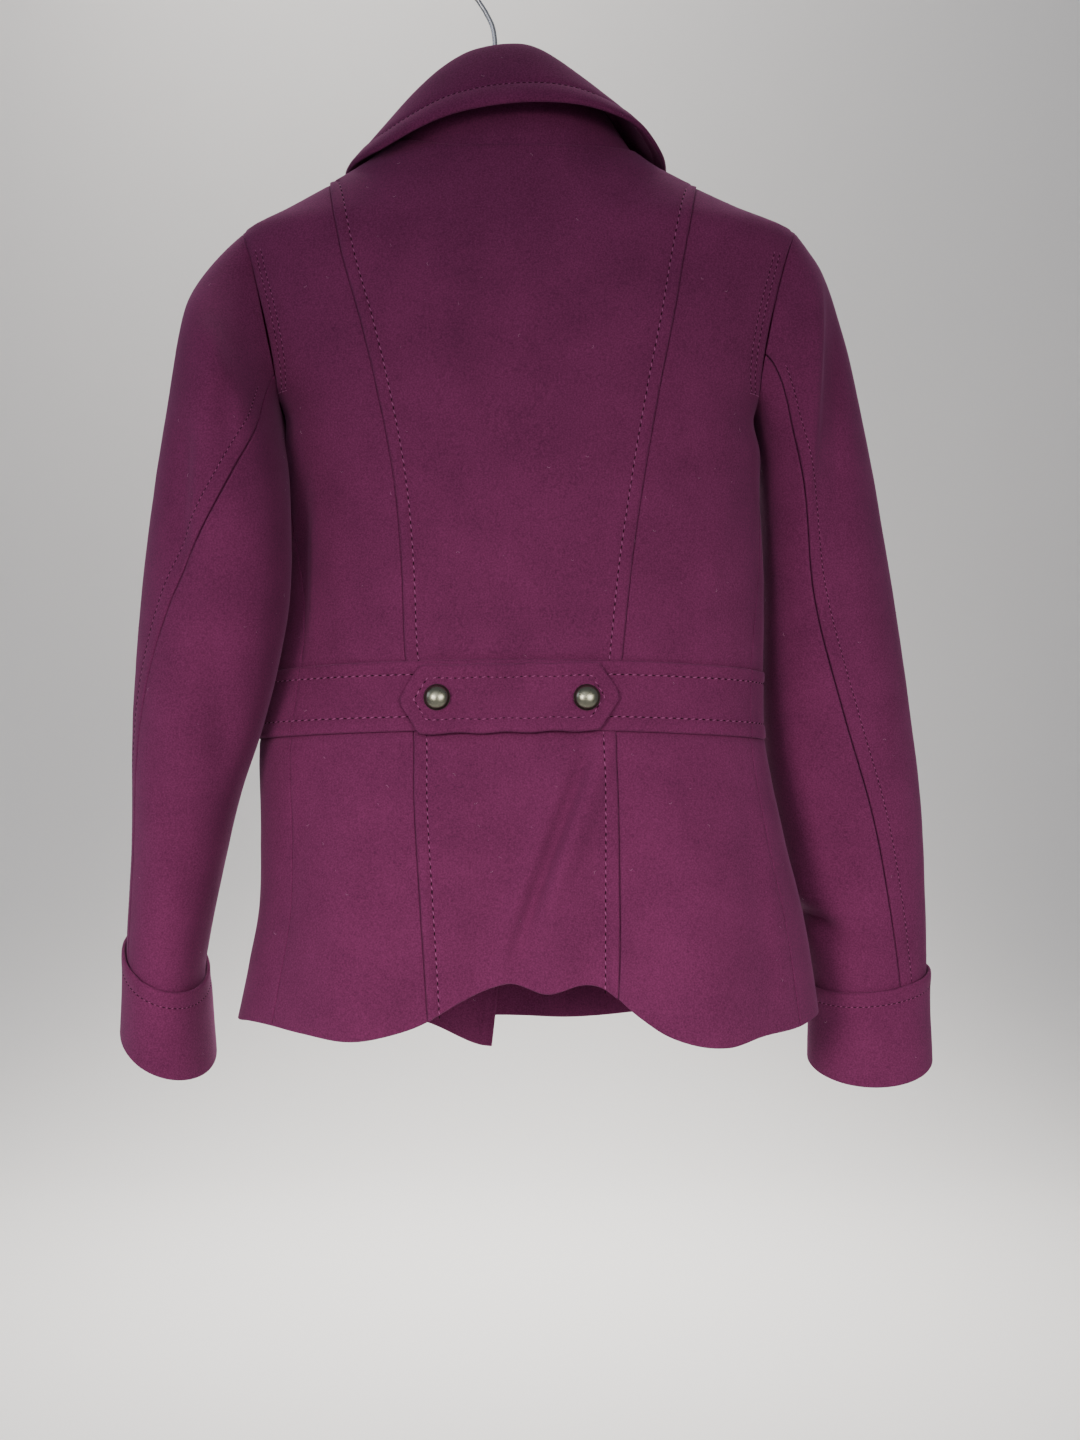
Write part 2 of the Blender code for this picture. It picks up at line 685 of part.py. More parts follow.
def collar_station(u):
    """Neck, fold and edge points of the collar and the way out, read from its left end to its right."""
    share = COLLAR[0].share + u * (COLLAR[-1].share - COLLAR[0].share)

    def read(name):
        return column(COLLAR, "share", name, share)

    seat, normal = surface_frame(share, neck_drop(share))
    lapped = LAP * smoothstep((COLLAR_LAP_END - abs(share)) / COLLAR_LAP_FADE)
    neck = seat + normal * lapped + Vector((0, 0, COLLAR_GAP))
    fold = Vector((read("fold_x"), read("fold_y"), -read("fold_drop")))
    edge = Vector((read("edge_x"), read("edge_y"), -read("edge_drop")))
    out = Vector((fold.x - COLLAR_MIDDLE_X, fold.y, 0)).normalized()
    return neck, fold, edge, out


def build_collar(make):
    """A stand on the neck edge and a fall that rolls over its top."""
    up = Vector((0, 0, 1))

    def stand(u, v):
        neck, fold, _, _ = collar_station(u)
        return (fold - up * STAND_CLEAR).lerp(neck, v)

    def fall(u, v):
        _, fold, edge, out = collar_station(u)
        start = fold - out * WALL
        roll = fold + out * COLLAR_ROLL[0] + up * COLLAR_ROLL[1]
        return start * (1 - v) ** 2 + roll * 2 * v * (1 - v) + edge * v**2

    make.cloth("collar_stand", outwards(stand), COLLAR_COLUMNS, STAND_ROWS, WALL)
    make.cloth("collar_fall", outwards(fall), COLLAR_COLUMNS, FALL_ROWS, COLLAR_WALL)


def tab_point(u, v):
    """The tab's outline on the body: a band with a point at each end."""
    stops = [TAB_LEFT, TAB_LEFT + TAB_POINT / 2, TAB_LEFT + TAB_POINT]
    stops += even_rows(TAB_LEFT + TAB_POINT, TAB_RIGHT - TAB_POINT, TAB_COLUMNS - 4)[1:-1]
    stops += [TAB_RIGHT - TAB_POINT, TAB_RIGHT - TAB_POINT / 2, TAB_RIGHT]
    x = float(np.interp(u * TAB_COLUMNS, range(TAB_COLUMNS + 1), stops))
    inset = min(x - TAB_LEFT, TAB_RIGHT - x, TAB_POINT) / TAB_POINT
    half = TAB_TIP_HALF + (TAB_HALF_HEIGHT - TAB_TIP_HALF) * inset
    drop = TAB_DROP + (2 * v - 1) * half
    return body(share_at(drop, x), drop)


def surface_frame(share, drop, reach=0.01):
    """A point of the body and its outward normal there, from a patch of this share by 1 mm."""
    def patch(u, v):
        return body(share + (u - 0.5) * reach, drop + (v - 0.5))

    return body(share, drop), normal_at(outwards(patch), 0.5, 0.5)


def build_button(make, name, share, drop, lift):
    """A domed button: a turned profile with its flat face on the cloth."""
    mesh = bpy.data.meshes.new(name)
    profile = [(0, BUTTON_HEIGHT)]
    for step in range(1, BUTTON_ARC + 1):
        angle = 0.5 * math.pi * step / BUTTON_ARC
        dome = BUTTON_RIM + (BUTTON_HEIGHT - BUTTON_RIM) * math.cos(angle)
        profile.append((BUTTON_RADIUS * math.sin(angle), dome))
    profile += [(BUTTON_RADIUS - BUTTON_RIM / 2, 0), (0, 0)]
    corners = [(radius * MM, 0, height * MM) for radius, height in profile]
    mesh.from_pydata(corners, [(i, i + 1) for i in range(len(corners) - 1)], [])
    item = make.add(name, mesh, PEWTER, 0.35, 1.0)
    turned = item.modifiers.new("turned", "SCREW")
    turned.axis = "Z"
    turned.steps = turned.render_steps = BUTTON_SEGMENTS
    turned.use_merge_vertices = True
    turned.merge_threshold = 1e-5
    point, normal = surface_frame(share, drop)
    place = (point + normal * (lift + BUTTON_GAP)) * MM
    item.matrix_local = Matrix.Translation(place) @ normal.to_track_quat("Z", "Y").to_matrix().to_4x4()


def build_tab(make):
    """The tab across the waistband and its two buttons."""
    face = BAND_LIFT + TAB_GAP + TAB_WALL
    make.cloth("back_tab", outwards(tab_point), TAB_COLUMNS, TAB_ROWS, TAB_WALL, flat_lift(face))
    for (name, _), x in zip(SIDES, TAB_BUTTON_X):
        build_button(make, f"tab_button_{name}", share_at(TAB_DROP, x), TAB_DROP, face)


def build_front_buttons(make):
    """Two columns of buttons on the front that lies on top."""
    for row, drop in enumerate(FRONT_BUTTON_DROPS, 1):
        base = BAND_LIFT if BAND_TOP < drop < BAND_BOTTOM else 0.0
        for (name, _), x in zip(SIDES, FRONT_BUTTON_X):
            lift = overlap_lift(base)(Vector((x, 0, 0)))
            build_button(make, f"front_button_{name}_{row}", front_share_at(drop, x), drop, lift)


def bar_point(drop, side):
    """A point of the hanger's bar just under the shoulder seam."""
    width_name = "left" if side < 0 else "right"
    here = Vector((column(SECTIONS, "drop", width_name, drop), -drop))
    slope = Vector((column(SECTIONS, "drop", width_name, drop + 1), -drop - 1)) - here
    under = Vector((slope.y, -slope.x)).normalized()
    here += under * (WALL + BAR_GAP + BAR_RADIUS)
    return side * here.x, here.y


def build_hanger(make):
    """A plain round bar bent to the shoulders, and its wire hook."""
    left = [bar_point(drop, -1) for drop in BAR_DROPS]
    right = [bar_point(drop, 1) for drop in BAR_DROPS]
    route = left[::-1] + [(-COAT_SHIFT, -BAR_CROWN_DROP)] + right
    xs = np.linspace(route[0][0], route[-1][0], BAR_POINTS)
    keys, heights = zip(*route)
    bar = [(x, 0, eased(keys, heights, x)) for x in xs]
    make.tube("hanger_bar", bar, BAR_RADIUS, BEECH, 0.5, 0.0, True)
    centre = HOOK_WIRE - HOOK_LOOP
    wire = [(x, 0, -drop) for x, drop in HOOK_SHANK]
    turns = np.radians(np.linspace(HOOK_START_DEG, HOOK_END_DEG, HOOK_POINTS))
    wire += [(HOOK_LOOP * math.cos(turn), 0, centre + HOOK_LOOP * math.sin(turn)) for turn in turns]
    make.tube("hanger_hook", wire, HOOK_WIRE, STEEL, 0.25, 1.0, False)


def clear_scene():
    for item in list(bpy.data.objects):
        bpy.data.objects.remove(item, do_unlink=True)


def main():
    clear_scene()
    make = Maker()
    build_body(make)
    build_sleeve(make, "left", -1, LEFT_ARM)
    build_sleeve(make, "right", 1, RIGHT_ARM)
    build_collar(make)
    build_tab(make)
    build_front_buttons(make)
    build_hanger(make)


main()
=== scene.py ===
"""Looks of a short double-breasted wool coat on a hanger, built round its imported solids.

Tables are in millimetres in the coat's own frame: x from the coat's middle, y towards its front, and
heights as drops below the hook's saddle. They become metres in the row frame when a mesh is made.
"""

from __future__ import annotations

import json
import logging
import math
from dataclasses import dataclass, field
from enum import Enum
from typing import Callable, NamedTuple, Sequence

import bpy
import numpy as np
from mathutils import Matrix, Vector, noise

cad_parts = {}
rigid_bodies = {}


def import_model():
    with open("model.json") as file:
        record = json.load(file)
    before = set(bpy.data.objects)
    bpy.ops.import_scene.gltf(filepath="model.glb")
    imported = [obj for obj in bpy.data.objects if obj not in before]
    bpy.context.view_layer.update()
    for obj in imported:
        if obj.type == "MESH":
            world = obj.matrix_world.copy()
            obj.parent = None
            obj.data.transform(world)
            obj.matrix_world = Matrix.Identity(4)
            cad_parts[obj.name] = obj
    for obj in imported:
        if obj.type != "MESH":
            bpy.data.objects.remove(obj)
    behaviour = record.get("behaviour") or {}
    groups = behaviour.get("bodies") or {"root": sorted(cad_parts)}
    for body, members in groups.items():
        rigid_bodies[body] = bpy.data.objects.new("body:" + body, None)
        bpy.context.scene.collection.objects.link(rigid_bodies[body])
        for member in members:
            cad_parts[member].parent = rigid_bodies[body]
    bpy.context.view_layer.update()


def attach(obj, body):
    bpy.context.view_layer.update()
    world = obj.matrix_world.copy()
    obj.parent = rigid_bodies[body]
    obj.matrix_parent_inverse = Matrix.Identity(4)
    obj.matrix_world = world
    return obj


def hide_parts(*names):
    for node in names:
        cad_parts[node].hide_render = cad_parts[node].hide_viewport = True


LOG = logging.getLogger("coat")
Array = np.ndarray
Surface = Callable[[Array, Array], Array]
Reading = Callable[[Array], Array]
Piece = bpy.types.Object
Mesh = bpy.types.Mesh
Material = bpy.types.Material
Tree = bpy.types.NodeTree
Node = bpy.types.Node
Socket = bpy.types.NodeSocket

MM = 0.001
COAT_SHIFT = 18.0
BODY = "root"


class Side(Enum):
    """A side of the coat as it hangs with its back to the viewer."""

    LEFT = -1
    RIGHT = 1

    @property
    def word(self) -> str:
        """The side's name in node names."""
        return self.name.lower()


class Edge(Enum):
    """The four edges of a piece that is read by (u, v)."""

    LOW = "u = 0"
    HIGH = "u = 1"
    TOP = "v = 0"
    BOTTOM = "v = 1"


class Thread(Enum):
    """How heavy a row of sewing is."""

    BOLD = "bold"
    FINE = "fine"
    TACK = "tack"


def as_array(value: float | Array) -> Array:
    """A value as a float array."""
    return np.asarray(value, float)


def smoothstep(value: float | Array) -> Array:
    """A value eased from 0 to 1."""
    held = np.clip(value, 0.0, 1.0)
    return held * held * (3 - 2 * held)


def stack(x: Array, y: Array, z: Array) -> Array:
    """Points from their three coordinates."""
    return np.stack(np.broadcast_arrays(as_array(x), as_array(y), as_array(z)), axis=-1)


def unit(vectors: Array) -> Array:
    """Vectors brought to length 1."""
    return vectors / np.linalg.norm(vectors, axis=-1, keepdims=True)


def run_lengths(x: Array, y: Array) -> Array:
    """How far along a line each of its points is."""
    return np.concatenate([[0], np.cumsum(np.hypot(np.diff(x), np.diff(y)))])


@dataclass(frozen=True)
class Profile:
    """A smooth curve through keys and values, held at its ends."""

    keys: tuple[float, ...]
    values: tuple[float, ...]

    def __call__(self, at: float | Array) -> Array:
        """The curve's value at each place."""
        keys, values = as_array(self.keys), as_array(self.values)
        slopes = np.diff(values) / np.diff(keys)
        padded = np.concatenate([slopes[:1], slopes, slopes[-1:]])
        tangents = 0.5 * (padded[:-1] + padded[1:])
        held = np.clip(at, keys[0], keys[-1])
        index = np.clip(np.searchsorted(keys, held, side="right") - 1, 0, len(keys) - 2)
        span = keys[index + 1] - keys[index]
        s = (held - keys[index]) / span
        return (
            (2 * s**3 - 3 * s**2 + 1) * values[index]
            + (s**3 - 2 * s**2 + s) * span * tangents[index]
            + (3 * s**2 - 2 * s**3) * values[index + 1]
            + (s**3 - s**2) * span * tangents[index + 1]
        )


# Tables of the coat's shape


@dataclass(frozen=True)
class Table:
    """Rows of sizes under named columns; the others are read along the first one."""

    columns: str
    rows: tuple[tuple[float, ...], ...]

    def values(self, name: str) -> tuple[float, ...]:
        """All values of one column."""
        at = self.columns.split().index(name)
        return tuple(row[at] for row in self.rows)

    def curve(self, name: str) -> Profile:
        """The smooth curve of one column."""
        return Profile(self.values(self.columns.split()[0]), self.values(name))

    def curves(self) -> dict[str, Profile]:
        """The curves of every column but the first."""
        return {name: self.curve(name) for name in self.columns.split()[1:]}

    def row(self, index: int) -> dict[str, float]:
        """One row, by its columns' names."""
        return dict(zip(self.columns.split(), self.rows[index]))


class Crease(NamedTuple):
    """A ridge between two places, or a trough if its height is negative."""

    x: float
    drop: float
    end_x: float
    end_drop: float
    half_width: float
    height: float


def creases(*rows: tuple[float, ...]) -> list[Crease]:
    """A table of creases."""
    return [Crease(*row) for row in rows]


# A ring of the body: half widths, depths from its widest line, that line's place, squareness
SECTIONS = Table("drop left right back front middle square", (
    (140, 90, 66, 52, 48, 0, 2.2), (150, 102, 84, 56, 52, 0, 2.2), (165, 123, 106, 60, 56, 0, 2.3),
    (180, 149, 134.5, 64, 60, 0, 2.4), (195, 176, 167.5, 68, 64, 0, 2.5), (210, 203, 203, 72, 68, 0, 2.6),
    (250, 203, 203, 79, 75, 0, 2.8), (290, 196, 196, 84, 80, 0, 2.9), (325, 184, 184, 87, 83, 0, 2.8),
    (345, 173, 173, 88, 84, 0, 2.7), (370, 173.5, 178, 88, 84.5, 0, 2.4), (400, 172, 178, 88, 85, 0, 2.1),
    (460, 173, 181, 86, 84, 0, 2.0), (500, 178, 181, 84, 82, 0, 2.1), (550, 187, 180, 83, 81, 0, 2.3),
    (580, 191, 181, 84, 82, -4, 2.4), (652, 189, 194, 86, 86, -10, 2.5), (706, 190, 207, 86, 92, -14, 2.5),
    (746, 197.5, 214, 86, 96, -16, 2.5), (820, 213, 223, 88, 100, -18, 2.5),
))
# Distances of the shaped seams and the armholes from the middle of the back
PRINCESS = Table("drop left right", (
    (170, 139, 131), (198, 133, 125), (240, 124, 117), (285, 111, 109), (330, 100, 100), (393, 88, 89),
    (456, 82, 80), (524, 79, 73), (575, 73, 68.5), (623, 72, 70), (700, 67, 70), (800, 60, 69),
))
ARMHOLE = Table("drop left right", (
    (210, 203.5, 203.5), (221, 198, 198), (250, 190, 189), (283, 182, 181), (315, 176, 175.5),
    (345, 173.5, 173.5),
))
# The side seams' shares of the way round
SIDE_SEAM = Table("drop left right", (
    (345, 0.5, 0.5), (420, 0.45, 0.468), (525, 0.372, 0.415), (600, 0.362, 0.398), (820, 0.362, 0.402),
))
# Where the edges of the under and the over front lie across the coat
OPENING = Table("drop under over", (
    (150, -14, -44), (240, -16, -80), (330, -16, -86), (760, -16, -86), (830, -23, -86),
))
BACK_HEM = Table("x drop", (
    (-230, 785), (-207, 784.5), (-194, 781.8), (-150, 785), (-114, 787.8), (-90, 784.5), (-66, 777.5),
    (-42, 764), (-20, 754), (-5, 751), (20, 758), (47, 752), (60, 755), (84, 773), (104, 785), (146, 793),
    (172, 788), (200, 785), (214, 781), (230, 777),
))
# A slanted ring of a sleeve: place along, two edges, depth, how low its back hangs, the seam's share across
ARM_COLUMNS = "along outer_x outer_drop inner_x inner_drop middle half_depth dip seam"
ARMS = {
    Side.LEFT: Table(ARM_COLUMNS, (
        (0.00, 203.5, 210, 174, 345, -2, 55, 0, 0.81), (0.07, 228.5, 237, 172, 360, -14, 59, 0, 0.82),
        (0.15, 239, 267, 167.5, 387, -33, 60, 1, 0.79), (0.28, 250, 337, 164, 432, -46, 57, 2, 0.615),
        (0.46, 264.5, 439, 166, 496, -50, 54, 3, 0.354), (0.66, 275, 552, 184, 572, -46, 51, 5, 0.136),
        (0.84, 280, 651, 210, 653, -30, 47, 10, 0.09), (0.95, 285, 725, 230, 751, -22, 46, 15, 0.1),
        (1.00, 285.5, 746, 229, 773, -20, 46, 16, 0.083), (1.14, 288, 791, 226.5, 818, -16, 46, 15, 0.08),
    )),
    Side.RIGHT: Table(ARM_COLUMNS, (
        (0.00, 203.5, 210, 174, 345, -2, 55, 0, 0.71), (0.07, 222, 231, 177.5, 357, 5, 59, 0, 0.71),
        (0.15, 237, 256, 179.5, 382, 18, 60, 1, 0.71), (0.28, 256.5, 327, 182, 427, 30, 57, 2, 0.65),
        (0.46, 277, 432, 183, 492, 36, 53, 3, 0.646), (0.66, 296.5, 551.5, 185, 572, 40, 48, 4, 0.5),
        (0.84, 307.5, 653.5, 198, 655.5, 40, 41, 6, 0.364), (0.95, 309.5, 752, 222, 763, 36, 37, 8, 0.296),
        (1.00, 309, 773, 223, 783, 36, 37, 9, 0.284), (1.14, 310, 824, 222.5, 826, 34, 37, 15, 0.282),
    )),
}
# Where the collar sits on the neck, its fold line and its outer edge
COLLAR = Table("share fold_x fold_y fold_drop edge_x edge_y edge_drop", (
    (-0.90, -38, 64, 168, -92, 84, 254), (-0.75, -66, 50, 146, -122, 66, 190),
    (-0.62, -92, 20, 137, -131, 30, 168), (-0.48, -84, -7, 126, -126, -14, 162),
    (-0.32, -65, -31, 105, -99, -50, 157), (-0.15, -37, -44, 88, -52, -72, 141),
    (0.00, -8, -48, 83, -4, -78, 134), (0.15, 14, -45, 86, 44, -76, 134), (0.32, 45, -32, 107, 84, -57, 141),
    (0.48, 68, -6, 124, 105, -20, 153.5), (0.62, 76, 20, 135, 112, 26, 161),
    (0.75, 65, 50, 146, 112, 66, 192), (0.90, 38, 64, 168, 92, 86, 252),
))
# Large folds, which grow downwards
BACK_FOLDS = creases(
    (-105, 590, -116, 790, 42, 17), (118, 590, 132, 790, 44, 17), (4, 600, 14, 780, 52, -15),
    (34, 620, 20, 775, 15, 6), (62, 600, 58, 770, 15, -7), (-20, 250, 12, 560, 46, -3),
    (88, 300, 60, 520, 30, 2),
)
FRONT_FOLDS = creases(
    (-112, 590, -120, 800, 40, 13), (110, 590, 122, 800, 42, 13), (30, 610, 36, 800, 36, -7),
)
# Creases, which fade at both ends
BODY_CREASES = creases(
    (62, 590, 20, 704, 9, 5.0), (47, 596, 4, 716, 4.2, -6.5), (34, 600, -9, 722, 7, 3.2),
    (2, 690, -14, 756, 8, 1.8), (72, 596, 74, 742, 12, -2.4), (-36, 610, -46, 740, 15, 1.5),
    (-112, 600, -128, 770, 18, 1.8),
    (-150, 610, -172, 762, 12, -2.0), (118, 640, 132, 770, 16, 1.6), (160, 600, 178, 770, 11, -1.8),
    (-60, 300, -40, 500, 26, -1.2), (64, 260, 40, 470, 24, 1.2), (-156, 402, -158, 512, 8, -4.0),
    (-136, 430, -118, 520, 10, 1.4), (150, 400, 128, 515, 12, 1.4), (-118, 214, -96, 262, 14, -1.2),
    (120, 226, 92, 270, 14, -1.2),
)
SLEEVE_CREASES = {
    Side.LEFT: creases(
        (-231, 368, -234, 462, 9, -5.0), (-204, 334, -198, 372, 8, -3.8), (-216, 290, -206, 340, 9, 2.8),
        (-176, 420, -184, 560, 12, 2.0), (-206, 505, -216, 610, 12, -2.0), (-200, 560, -206, 600, 9, -3.8),
        (-262, 600, -240, 720, 12, 1.6),
    ),
    Side.RIGHT: creases(
        (217, 256, 211, 404, 8, 6.0), (233, 262, 234, 414, 12, -5.4), (204, 708, 241, 728, 6, -8.0),
        (206, 692, 246, 712, 9, 5.0), (200, 560, 224, 680, 12, 2.0), (232, 420, 256, 560, 14, -1.8),
    ),
}


# Keeps a reading just before a grid's last line
GRID_END = 1.001


def cubic_weights(part: Array) -> list[Array]:
    """The four weights of a smooth reading between grid lines."""
    return [
        -0.5 * part + part**2 - 0.5 * part**3,
        1 - 2.5 * part**2 + 1.5 * part**3,
        0.5 * part + 2 * part**2 - 1.5 * part**3,
        -0.5 * part**2 + 0.5 * part**3,
    ]


def wrapped(share: Array) -> Array:
    """Shares brought back to between -1 and 1."""
    return share - 2 * np.round(as_array(share) / 2)


@dataclass
class BodyForm:
    """The body of the coat: a ring at every drop, read by drop and by share of the way round.

    A share is 0 at the back, 0.5 at the side and 1 at the front, and negative on the left.
    """

    first_drop: float = 140.0
    last_drop: float = 842.0
    drop_step: float = 2.0
    share_step: float = 0.005
    most_share: float = 1.4
    ring_steps: int = 240
    fold_fade: float = 0.12
    seam: float = 0.1
    neck: float = 150.0
    neck_back_dip: float = 8.0
    neck_front_dip: float = 62.0
    neck_left_rise: float = 8.0
    neck_rise_from: float = 0.12
    neck_rise_to: float = 0.95
    neck_rise_run: float = 0.3
    shoulder: float = 210.0
    armpit: float = 345.0
    front_hems: dict[Side, float] = field(default_factory=lambda: {Side.LEFT: 824.0, Side.RIGHT: 800.0})
    hem_turn: tuple[float, float] = (0.95, 0.5)
    corner_x: float = -23.0
    corner_rise: float = 18.0
    corner_run: float = 60.0
    band_sag: float = 7.0
    band_sag_share: float = 0.45

    def __post_init__(self) -> None:
        """Works out the rings and the seams' shares."""
        self.drops = np.arange(self.first_drop, self.last_drop, self.drop_step)
        count = round(2 * self.most_share / self.share_step)
        self.shares = np.linspace(-self.most_share, self.most_share, count + 1)
        rings = [self._ring(drop) for drop in self.drops]
        self.x_grid = np.array([x for x, _ in rings])
        self.y_grid = np.array([y for _, y in rings])
        self.half_width = SECTIONS.curve("left")
        self.princess = {side: self._back_seam(PRINCESS, side) for side in Side}
        self.armhole = {side: self._back_seam(ARMHOLE, side) for side in Side}
        self.side_seam = {side: SIDE_SEAM.curve(side.word) for side in Side}

    def _ring(self, drop: float) -> tuple[Array, Array]:
        """The x and y of one ring at the form's shares."""
        size = {name: float(curve(drop)) for name, curve in SECTIONS.curves().items()}
        angle = np.linspace(0, math.pi / 2, self.ring_steps + 1)
        power = 2 / size["square"]
        along = np.abs(np.cos(angle)) ** power
        along[-1] = 0.0
        round_way = wrapped(self.shares)
        x, y = np.empty_like(round_way), np.empty_like(round_way)
        for side in Side:
            across = size[side.word] * np.sin(angle) ** power
            keys, xs, ys = [], [], []
            for depth, turn in ((-size["back"], 1), (size["front"], -1)):
                line = size["middle"] + depth * along
                length = run_lengths(across, line)
                share = 0.5 * length / length[-1]
                keys.append(share if turn > 0 else 1 - share[::-1])
                xs.append(across[::turn])
                ys.append(line[::turn])
            mine = round_way < 0 if side is Side.LEFT else round_way >= 0
            away = np.abs(round_way[mine])
            x[mine] = side.value * np.interp(away, np.concatenate(keys), np.concatenate(xs))
            y[mine] = np.interp(away, np.concatenate(keys), np.concatenate(ys))
        return x, y

    def _back_seam(self, rows: Table, side: Side) -> Reading:
        """The share of a seam of the back that is given by its distance from the middle."""
        places = rows.curve(side.word)(self.drops)
        half = (self.shares * side.value >= 0) & (self.shares * side.value <= 0.5)
        order = np.argsort(np.abs(self.shares[half]))
        keys = np.abs(self.shares[half])[order]
        found = [np.interp(at, np.abs(row[half])[order], keys) for at, row in zip(places, self.x_grid)]
        return lambda drop: np.interp(drop, self.drops, found)

    def share_at(self, drop: Array, x: Array, front: bool = False) -> Array:
        """The share of a place across the back, or across the front as read on from the right side.

        Args:
            drop: drops of the places.
            x: places across.
            front: whether they are on the front.

        Returns:
            Their shares.
        """
        drop, x = np.broadcast_arrays(as_array(drop), as_array(x))
        low, high = (0.5, self.most_share) if front else (-0.5, 0.5)
        span = (self.shares >= low) & (self.shares <= high)
        sign = -1 if front else 1
        rows = np.round((drop - self.first_drop) / self.drop_step).astype(int)
        pairs = zip(x.ravel(), np.clip(rows, 0, len(self.drops) - 1).ravel())
        flat = [np.interp(sign * at, sign * self.x_grid[row][span], self.shares[span]) for at, row in pairs]
        return as_array(flat).reshape(x.shape)

    def opening(self, name: str) -> Reading:
        """The share of a front's opening edge at each drop."""
        shares = self.share_at(self.drops, OPENING.curve(name)(self.drops), front=True)
        return lambda drop: np.interp(drop, self.drops, shares)

    def _read(self, grid: Array, share: Array, drop: Array) -> Array:
        """A smooth reading of a grid of rings."""
        row = np.clip((drop - self.first_drop) / self.drop_step, 0, len(self.drops) - GRID_END)
        column = np.clip((share + self.most_share) / self.share_step, 0, len(self.shares) - GRID_END)
        row_at, column_at = np.floor(row).astype(int), np.floor(column).astype(int)
        total = np.zeros(np.broadcast(row, column).shape)
        column_weights = cubic_weights(column - column_at)
        for i, row_weight in enumerate(cubic_weights(row - row_at)):
            rows = np.clip(row_at - 1 + i, 0, len(self.drops) - 1)
            for j, column_weight in enumerate(column_weights):
                columns = np.clip(column_at - 1 + j, 0, len(self.shares) - 1)
                total = total + row_weight * column_weight * grid[rows, columns]
        return total

    def _folds(self, folds: Sequence[Crease], x: Array, drop: Array) -> Array:
        """How far the folds push the cloth out."""
        total = np.zeros_like(x)
        for fold in folds:
            way = (drop - fold.drop) / (fold.end_drop - fold.drop)
            crest = fold.x + way * (fold.end_x - fold.x)
            total += fold.height * smoothstep(way) * np.exp(-(((x - crest) / fold.half_width) ** 2))
        return total

    def across(self, share: Array, drop: Array) -> Array:
        """The x of places on the body."""
        return self._read(self.x_grid, share, drop)

    def point(self, share: Array, drop: Array) -> Array:
        """Points of the body.

        Args:
            share: shares of the way round.
            drop: drops.

        Returns:
            Points in millimetres, in the coat's frame.
        """
        share, drop = np.broadcast_arrays(as_array(share), as_array(drop))
        x, y = self.across(share, drop), self._read(self.y_grid, share, drop)
        away = np.abs(wrapped(share))
        y = y - self._folds(BACK_FOLDS, x, drop) * smoothstep((0.5 - away) / self.fold_fade)
        y = y + self._folds(FRONT_FOLDS, x, drop) * smoothstep((away - 0.5) / self.fold_fade)
        return stack(x, y, -drop)

    def gap(self, drop: Array) -> Array:
        """Half a seam's clear distance, as a share."""
        return 0.25 * self.seam / self.half_width(drop)

    def back_limit(self, side: Side, drop: Array) -> Array:
        """The share where the back ends: shoulder seam, armhole or side seam."""
        lower = np.where(drop < self.armpit, self.armhole[side](drop), self.side_seam[side](drop))
        return np.where(drop <= self.shoulder, 0.5, lower)

    def front_limit(self, side: Side, drop: Array) -> Array:
        """The share where a front starts, facing the back's end."""
        share = self.back_limit(side, drop)
        return np.where(drop < self.armpit, 1 - share, share)

    def neck_drop(self, share: Array) -> Array:
        """The neck edge's drop, which rises on the left."""
        place = wrapped(share)
        away = np.abs(place)
        back = self.neck + self.neck_back_dip * (1 - (2 * away) ** 2)
        front = self.neck + self.neck_front_dip * (2 * away - 1) ** 2
        rise = self.neck_left_rise * smoothstep((-place - self.neck_rise_from) / self.neck_rise_run)
        rise = rise * smoothstep((self.neck_rise_to - away) / self.neck_rise_run)
        return np.where(away < 0.5, back, front) - rise

    def band_drop(self, edge: float, share: Array) -> Array:
        """The drop of an edge of the waistband, which sinks a little towards the sides."""
        away = np.minimum(np.abs(share) / self.band_sag_share, 1.0)
        return edge + self.band_sag * away**2

    def back_hem(self, share: Array, drop: Array) -> Array:
        """The back hem's drop."""
        return BACK_HEM.curve("drop")(self.across(share, drop))

    def front_hem(self, side: Side, share: Array, drop: Array) -> Array:
        """A front hem's drop: the back's until it has turned the side, lowest at the opening."""
        away = np.abs(wrapped(share))
        rise = smoothstep((self.hem_turn[0] - away) / self.hem_turn[1])
        level = self.back_hem(side.value * np.minimum(away, 0.5), drop)
        lowest = self.front_hems[side]
        if side is Side.LEFT:
            away_from_corner = self.corner_x - self.across(share, drop)
            lowest = lowest - self.corner_rise * smoothstep(away_from_corner / self.corner_run)
        return lowest + (level - lowest) * rise


@dataclass
class Panel:
    """A stretch of the body between two seams and two edges."""

    form: BodyForm
    seams: tuple[Reading, Reading]
    top: Surface
    bottom: Surface
    first: float
    last: float
    passes: int = 4

    def __call__(self, u: Array, v: Array) -> Array:
        """Points of the panel, whose seams and edges are found together in a few passes."""
        u, v = np.broadcast_arrays(as_array(u), as_array(v))
        nominal = self.first + v * (self.last - self.first)
        drop = nominal
        for _ in range(self.passes):
            low = self.seams[0](drop)
            share = low + u * (self.seams[1](drop) - low)
            top, bottom = self.top(share, drop), self.bottom(share, drop)
            drop = nominal + (top - self.first) * (1 - v) + (bottom - self.last) * v**2
        return self.form.point(share, drop)


@dataclass(frozen=True)
class StitchRow:
    """A row of sewing along an edge, between two places on it."""

    edge: Edge
    distance: float
    start: float = 0.0
    end: float = 1.0
    thread: Thread = Thread.BOLD


@dataclass(frozen=True)
class StitchPath:
    """A traced row: its points, the cloth's normals there, and its thread."""

    points: Array
    ups: Array
    thread: Thread


